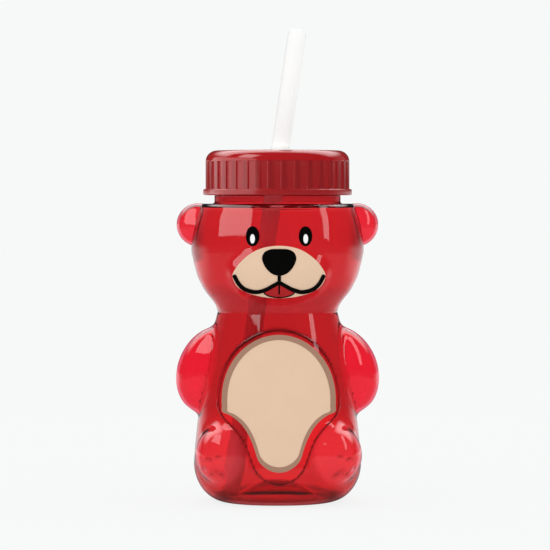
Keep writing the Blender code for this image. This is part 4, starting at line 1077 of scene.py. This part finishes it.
def bareMaterial(name):
    material = bpy.data.materials.new(name)
    material.use_nodes = True
    material.node_tree.nodes.clear()
    return material, material.node_tree


def stageForGloss(piece, colour, strength):
    # a glowing piece that only gloss shows
    material, tree = bareMaterial(piece.name)
    glow = addNode(tree, "Emission", {"Color": colour, "Strength": strength})
    addNode(tree, "OutputMaterial", {"Surface": glow.outputs[0]})
    piece.data.materials.append(material)
    piece.visible_camera = piece.visible_diffuse = piece.visible_transmission = piece.visible_shadow = False


def buildFloor():
    deselectAll()
    bpy.ops.mesh.primitive_circle_add(vertices=128, radius=studio["floorRadius"], fill_type="NGON",
                                      location=(0, 0, studio["floorHeight"]))
    floor = bpy.context.object
    floor.name = "studioFloor"
    material, tree = bareMaterial("paleFloor")
    place = objectPlace(tree)
    along = addNode(tree, "SeparateXYZ", {0: place}).outputs["Y"]
    reach = addNode(tree, "VectorMath", {0: place}, operation="LENGTH").outputs["Value"]
    # gloss finds the floor dark near the base and in front, bright behind
    gloss = rampedTwice(tree, along, "floorBehind", reach, "floorNear")
    diffuse = addNode(tree, "BsdfDiffuse", {"Color": studio["floorGrey"]}).outputs[0]
    # the camera sees the pale background with a light shadow; plastic shows it darker near the base
    shades = {}
    for rays, strength, share in (("Is Camera Ray", 1.0, 0.10), ("Is Glossy Ray", gloss, 0.30),
                                  ("Is Transmission Ray", 1.0, 0.12)):
        glow = addNode(tree, "Emission", {"Color": studio["pale"], "Strength": strength}).outputs[0]
        shades[rays] = addNode(tree, "MixShader", {0: share, 1: glow, 2: diffuse}).outputs[0]
    fade = rampNode(tree, reach, *ramps["floorFade"])
    gone = addNode(tree, "BsdfTransparent").outputs[0]
    edge = addNode(tree, "MixShader", {0: fade, 1: chooseByRay(tree, diffuse, shades), 2: gone})
    addNode(tree, "OutputMaterial", {"Surface": edge.outputs[0]})
    floor.data.materials.append(material)


def buildNeckFlag():
    # keeps the lamps' reflections off the neck, as the lid's overhang does
    low, high = studio["flagLow"], studio["flagHigh"]
    deselectAll()
    bpy.ops.mesh.primitive_cylinder_add(vertices=96, radius=studio["flagRadius"], depth=high - low,
                                        end_fill_type="NOTHING", location=(0, 0, (low + high) / 2))
    flag = bpy.context.object
    flag.name = "neckFlag"
    stageForGloss(flag, studio["flagRed"], 1.0)


def buildWorld():
    world = bpy.data.worlds.new("paleStudio")
    scene.world = world
    world.use_nodes = True
    tree = world.node_tree
    tree.nodes.clear()
    way = addNode(tree, "SeparateXYZ", {0: addNode(tree, "TexCoord").outputs["Generated"]}).outputs
    along, up = way["Y"], way["Z"]
    ambient = rampNode(tree, up, *ramps["ambient"])
    # gloss finds a floor that is pale only behind, a dark room above it and a lit ceiling at the back
    below = rampedTwice(tree, up, "roomFloor", along, "roomBehind")
    above = rampedTwice(tree, up, "ceiling", along, "ceilingBehind")
    gloss = calc(tree, "ADD", studio["roomGloss"], calc(tree, "ADD", below, above))
    # light that the plastic bends steeply upwards or aside finds the dark room too
    bent = rampedTwice(tree, up, "bentUp", along, "bentAside")
    inside = calc(tree, "GREATER_THAN", addNode(tree, "LightPath").outputs["Diffuse Depth"], 0.5)
    through = calc(tree, "MAXIMUM", bent, calc(tree, "MULTIPLY", inside, studio["insideLight"]))
    plain, *others = (addNode(tree, "Background", {"Color": studio[colour], "Strength": strength}).outputs[0]
                      for colour, strength in (("white", ambient), ("white", gloss), ("pale", through), ("pale", 1.0)))
    shades = dict(zip(("Is Glossy Ray", "Is Transmission Ray", "Is Camera Ray"), others))
    addNode(tree, "OutputWorld", {"Surface": chooseByRay(tree, plain, shades)})


# lamps whose shaped faces only the bottle's gloss shows: corners and brightness
shapedLamps = {
    "leftSoftbox": (((-0.1223, -0.0496, 0.125), (-0.0582, -0.1259, 0.1198), (-0.0546, -0.0382, 0.297),
                     (-0.1152, 0.0179, 0.271)), 3.5),
    "rightStrip": (((0.2598, -0.2214, 0.1283), (0.2809, -0.1807, 0.1257), (0.201, -0.0012, 0.3588),
                    (0.1624, -0.0501, 0.3807)), 3.5),
}
# lower and upper middle of each lamp's face, its width, its brightness and what it lights
lamps = {
    "softKey": ((-0.75, -0.75, 0.45), (-0.45, -0.45, 0.95), 0.6, 0.62, "diffuse"),
    "softFill": ((0.75, -0.75, 0.45), (0.45, -0.45, 0.95), 0.6, 0.36, "diffuse"),
    "lidLeft": ((-0.0776, -0.0239, 0.095), (-0.0776, -0.0239, 0.180), 0.147, 1.9, "lid"),
    "lidRight": ((0.50, 0.30, 0.02), (0.50, 0.30, 0.40), 0.35, 0.22, "lid"),
    "lidPatch": ((-0.0763, -0.0623, 0.1933), (-0.0477, -0.0467, 0.2245), 0.042, 5.0, "lid"),
    "strawFoot": ((0.0, -0.016, 0.1558), (0.0, 0.016, 0.1558), 0.032, 0.45, "straw diffuse"),
    "lidSide": ((-0.9, -0.25, 0.1), (-0.9, -0.25, 0.6), 0.5, 2.0, "lid diffuse"),
}


def onlyFor(name, piece):
    receivers = bpy.data.collections.new(name)
    receivers.objects.link(piece)
    return receivers


def buildShapedLamps():
    bottleOnly = onlyFor("bottleOnly", bottle)
    for name, (corners, glow) in shapedLamps.items():
        face = newPiece(name, corners, [(0, 1, 2, 3)])
        face.light_linking.receiver_collection = bottleOnly
        stageForGloss(face, studio["white"], glow)


def buildLamps():
    linked = {"lid": onlyFor("lidOnly", lid), "straw": onlyFor("strawOnly", straw)}
    for name, (foot, head, wide, glow, lights) in lamps.items():
        foot, head = Vector(foot), Vector(head)
        up, place = (head - foot).normalized(), (foot + head) / 2
        back = place - Vector((0.0, 0.0, 0.30 if "straw" in lights else 0.10))
        back = (back - up * back.dot(up)).normalized()      # the lamp's face looks at the bottle
        data = bpy.data.lights.new(name, "AREA")
        data.shape = "RECTANGLE"
        data.size, data.size_y = wide, (head - foot).length
        data.energy = math.pi * wide * data.size_y * glow
        lamp = bpy.data.objects.new(name, data)
        scene.collection.objects.link(lamp)
        lamp.matrix_world = Matrix.Translation(place) @ Matrix((up.cross(back), up, back)).transposed().to_4x4()
        lamp.visible_camera = lamp.visible_transmission = False
        lamp.visible_diffuse = "diffuse" in lights
        lamp.visible_glossy = not lamp.visible_diffuse
        for key, receivers in linked.items():
            if key in lights:
                lamp.light_linking.receiver_collection = receivers


def buildCamera():
    data = bpy.data.cameras.new("photoCamera")
    camera = bpy.data.objects.new("photoCamera", data)
    scene.collection.objects.link(camera)
    data.lens, data.sensor_width = studio["lens"], 36.0
    data.clip_start, data.clip_end = 0.05, 20.0
    camera.location = studio["camera"]
    way = Vector(studio["aim"]) - Vector(studio["camera"])
    camera.rotation_euler = way.to_track_quat("-Z", "Y").to_euler()
    scene.camera = camera


buildFloor()
buildNeckFlag()
buildWorld()
buildShapedLamps()
buildLamps()
buildCamera()
print("studio made")
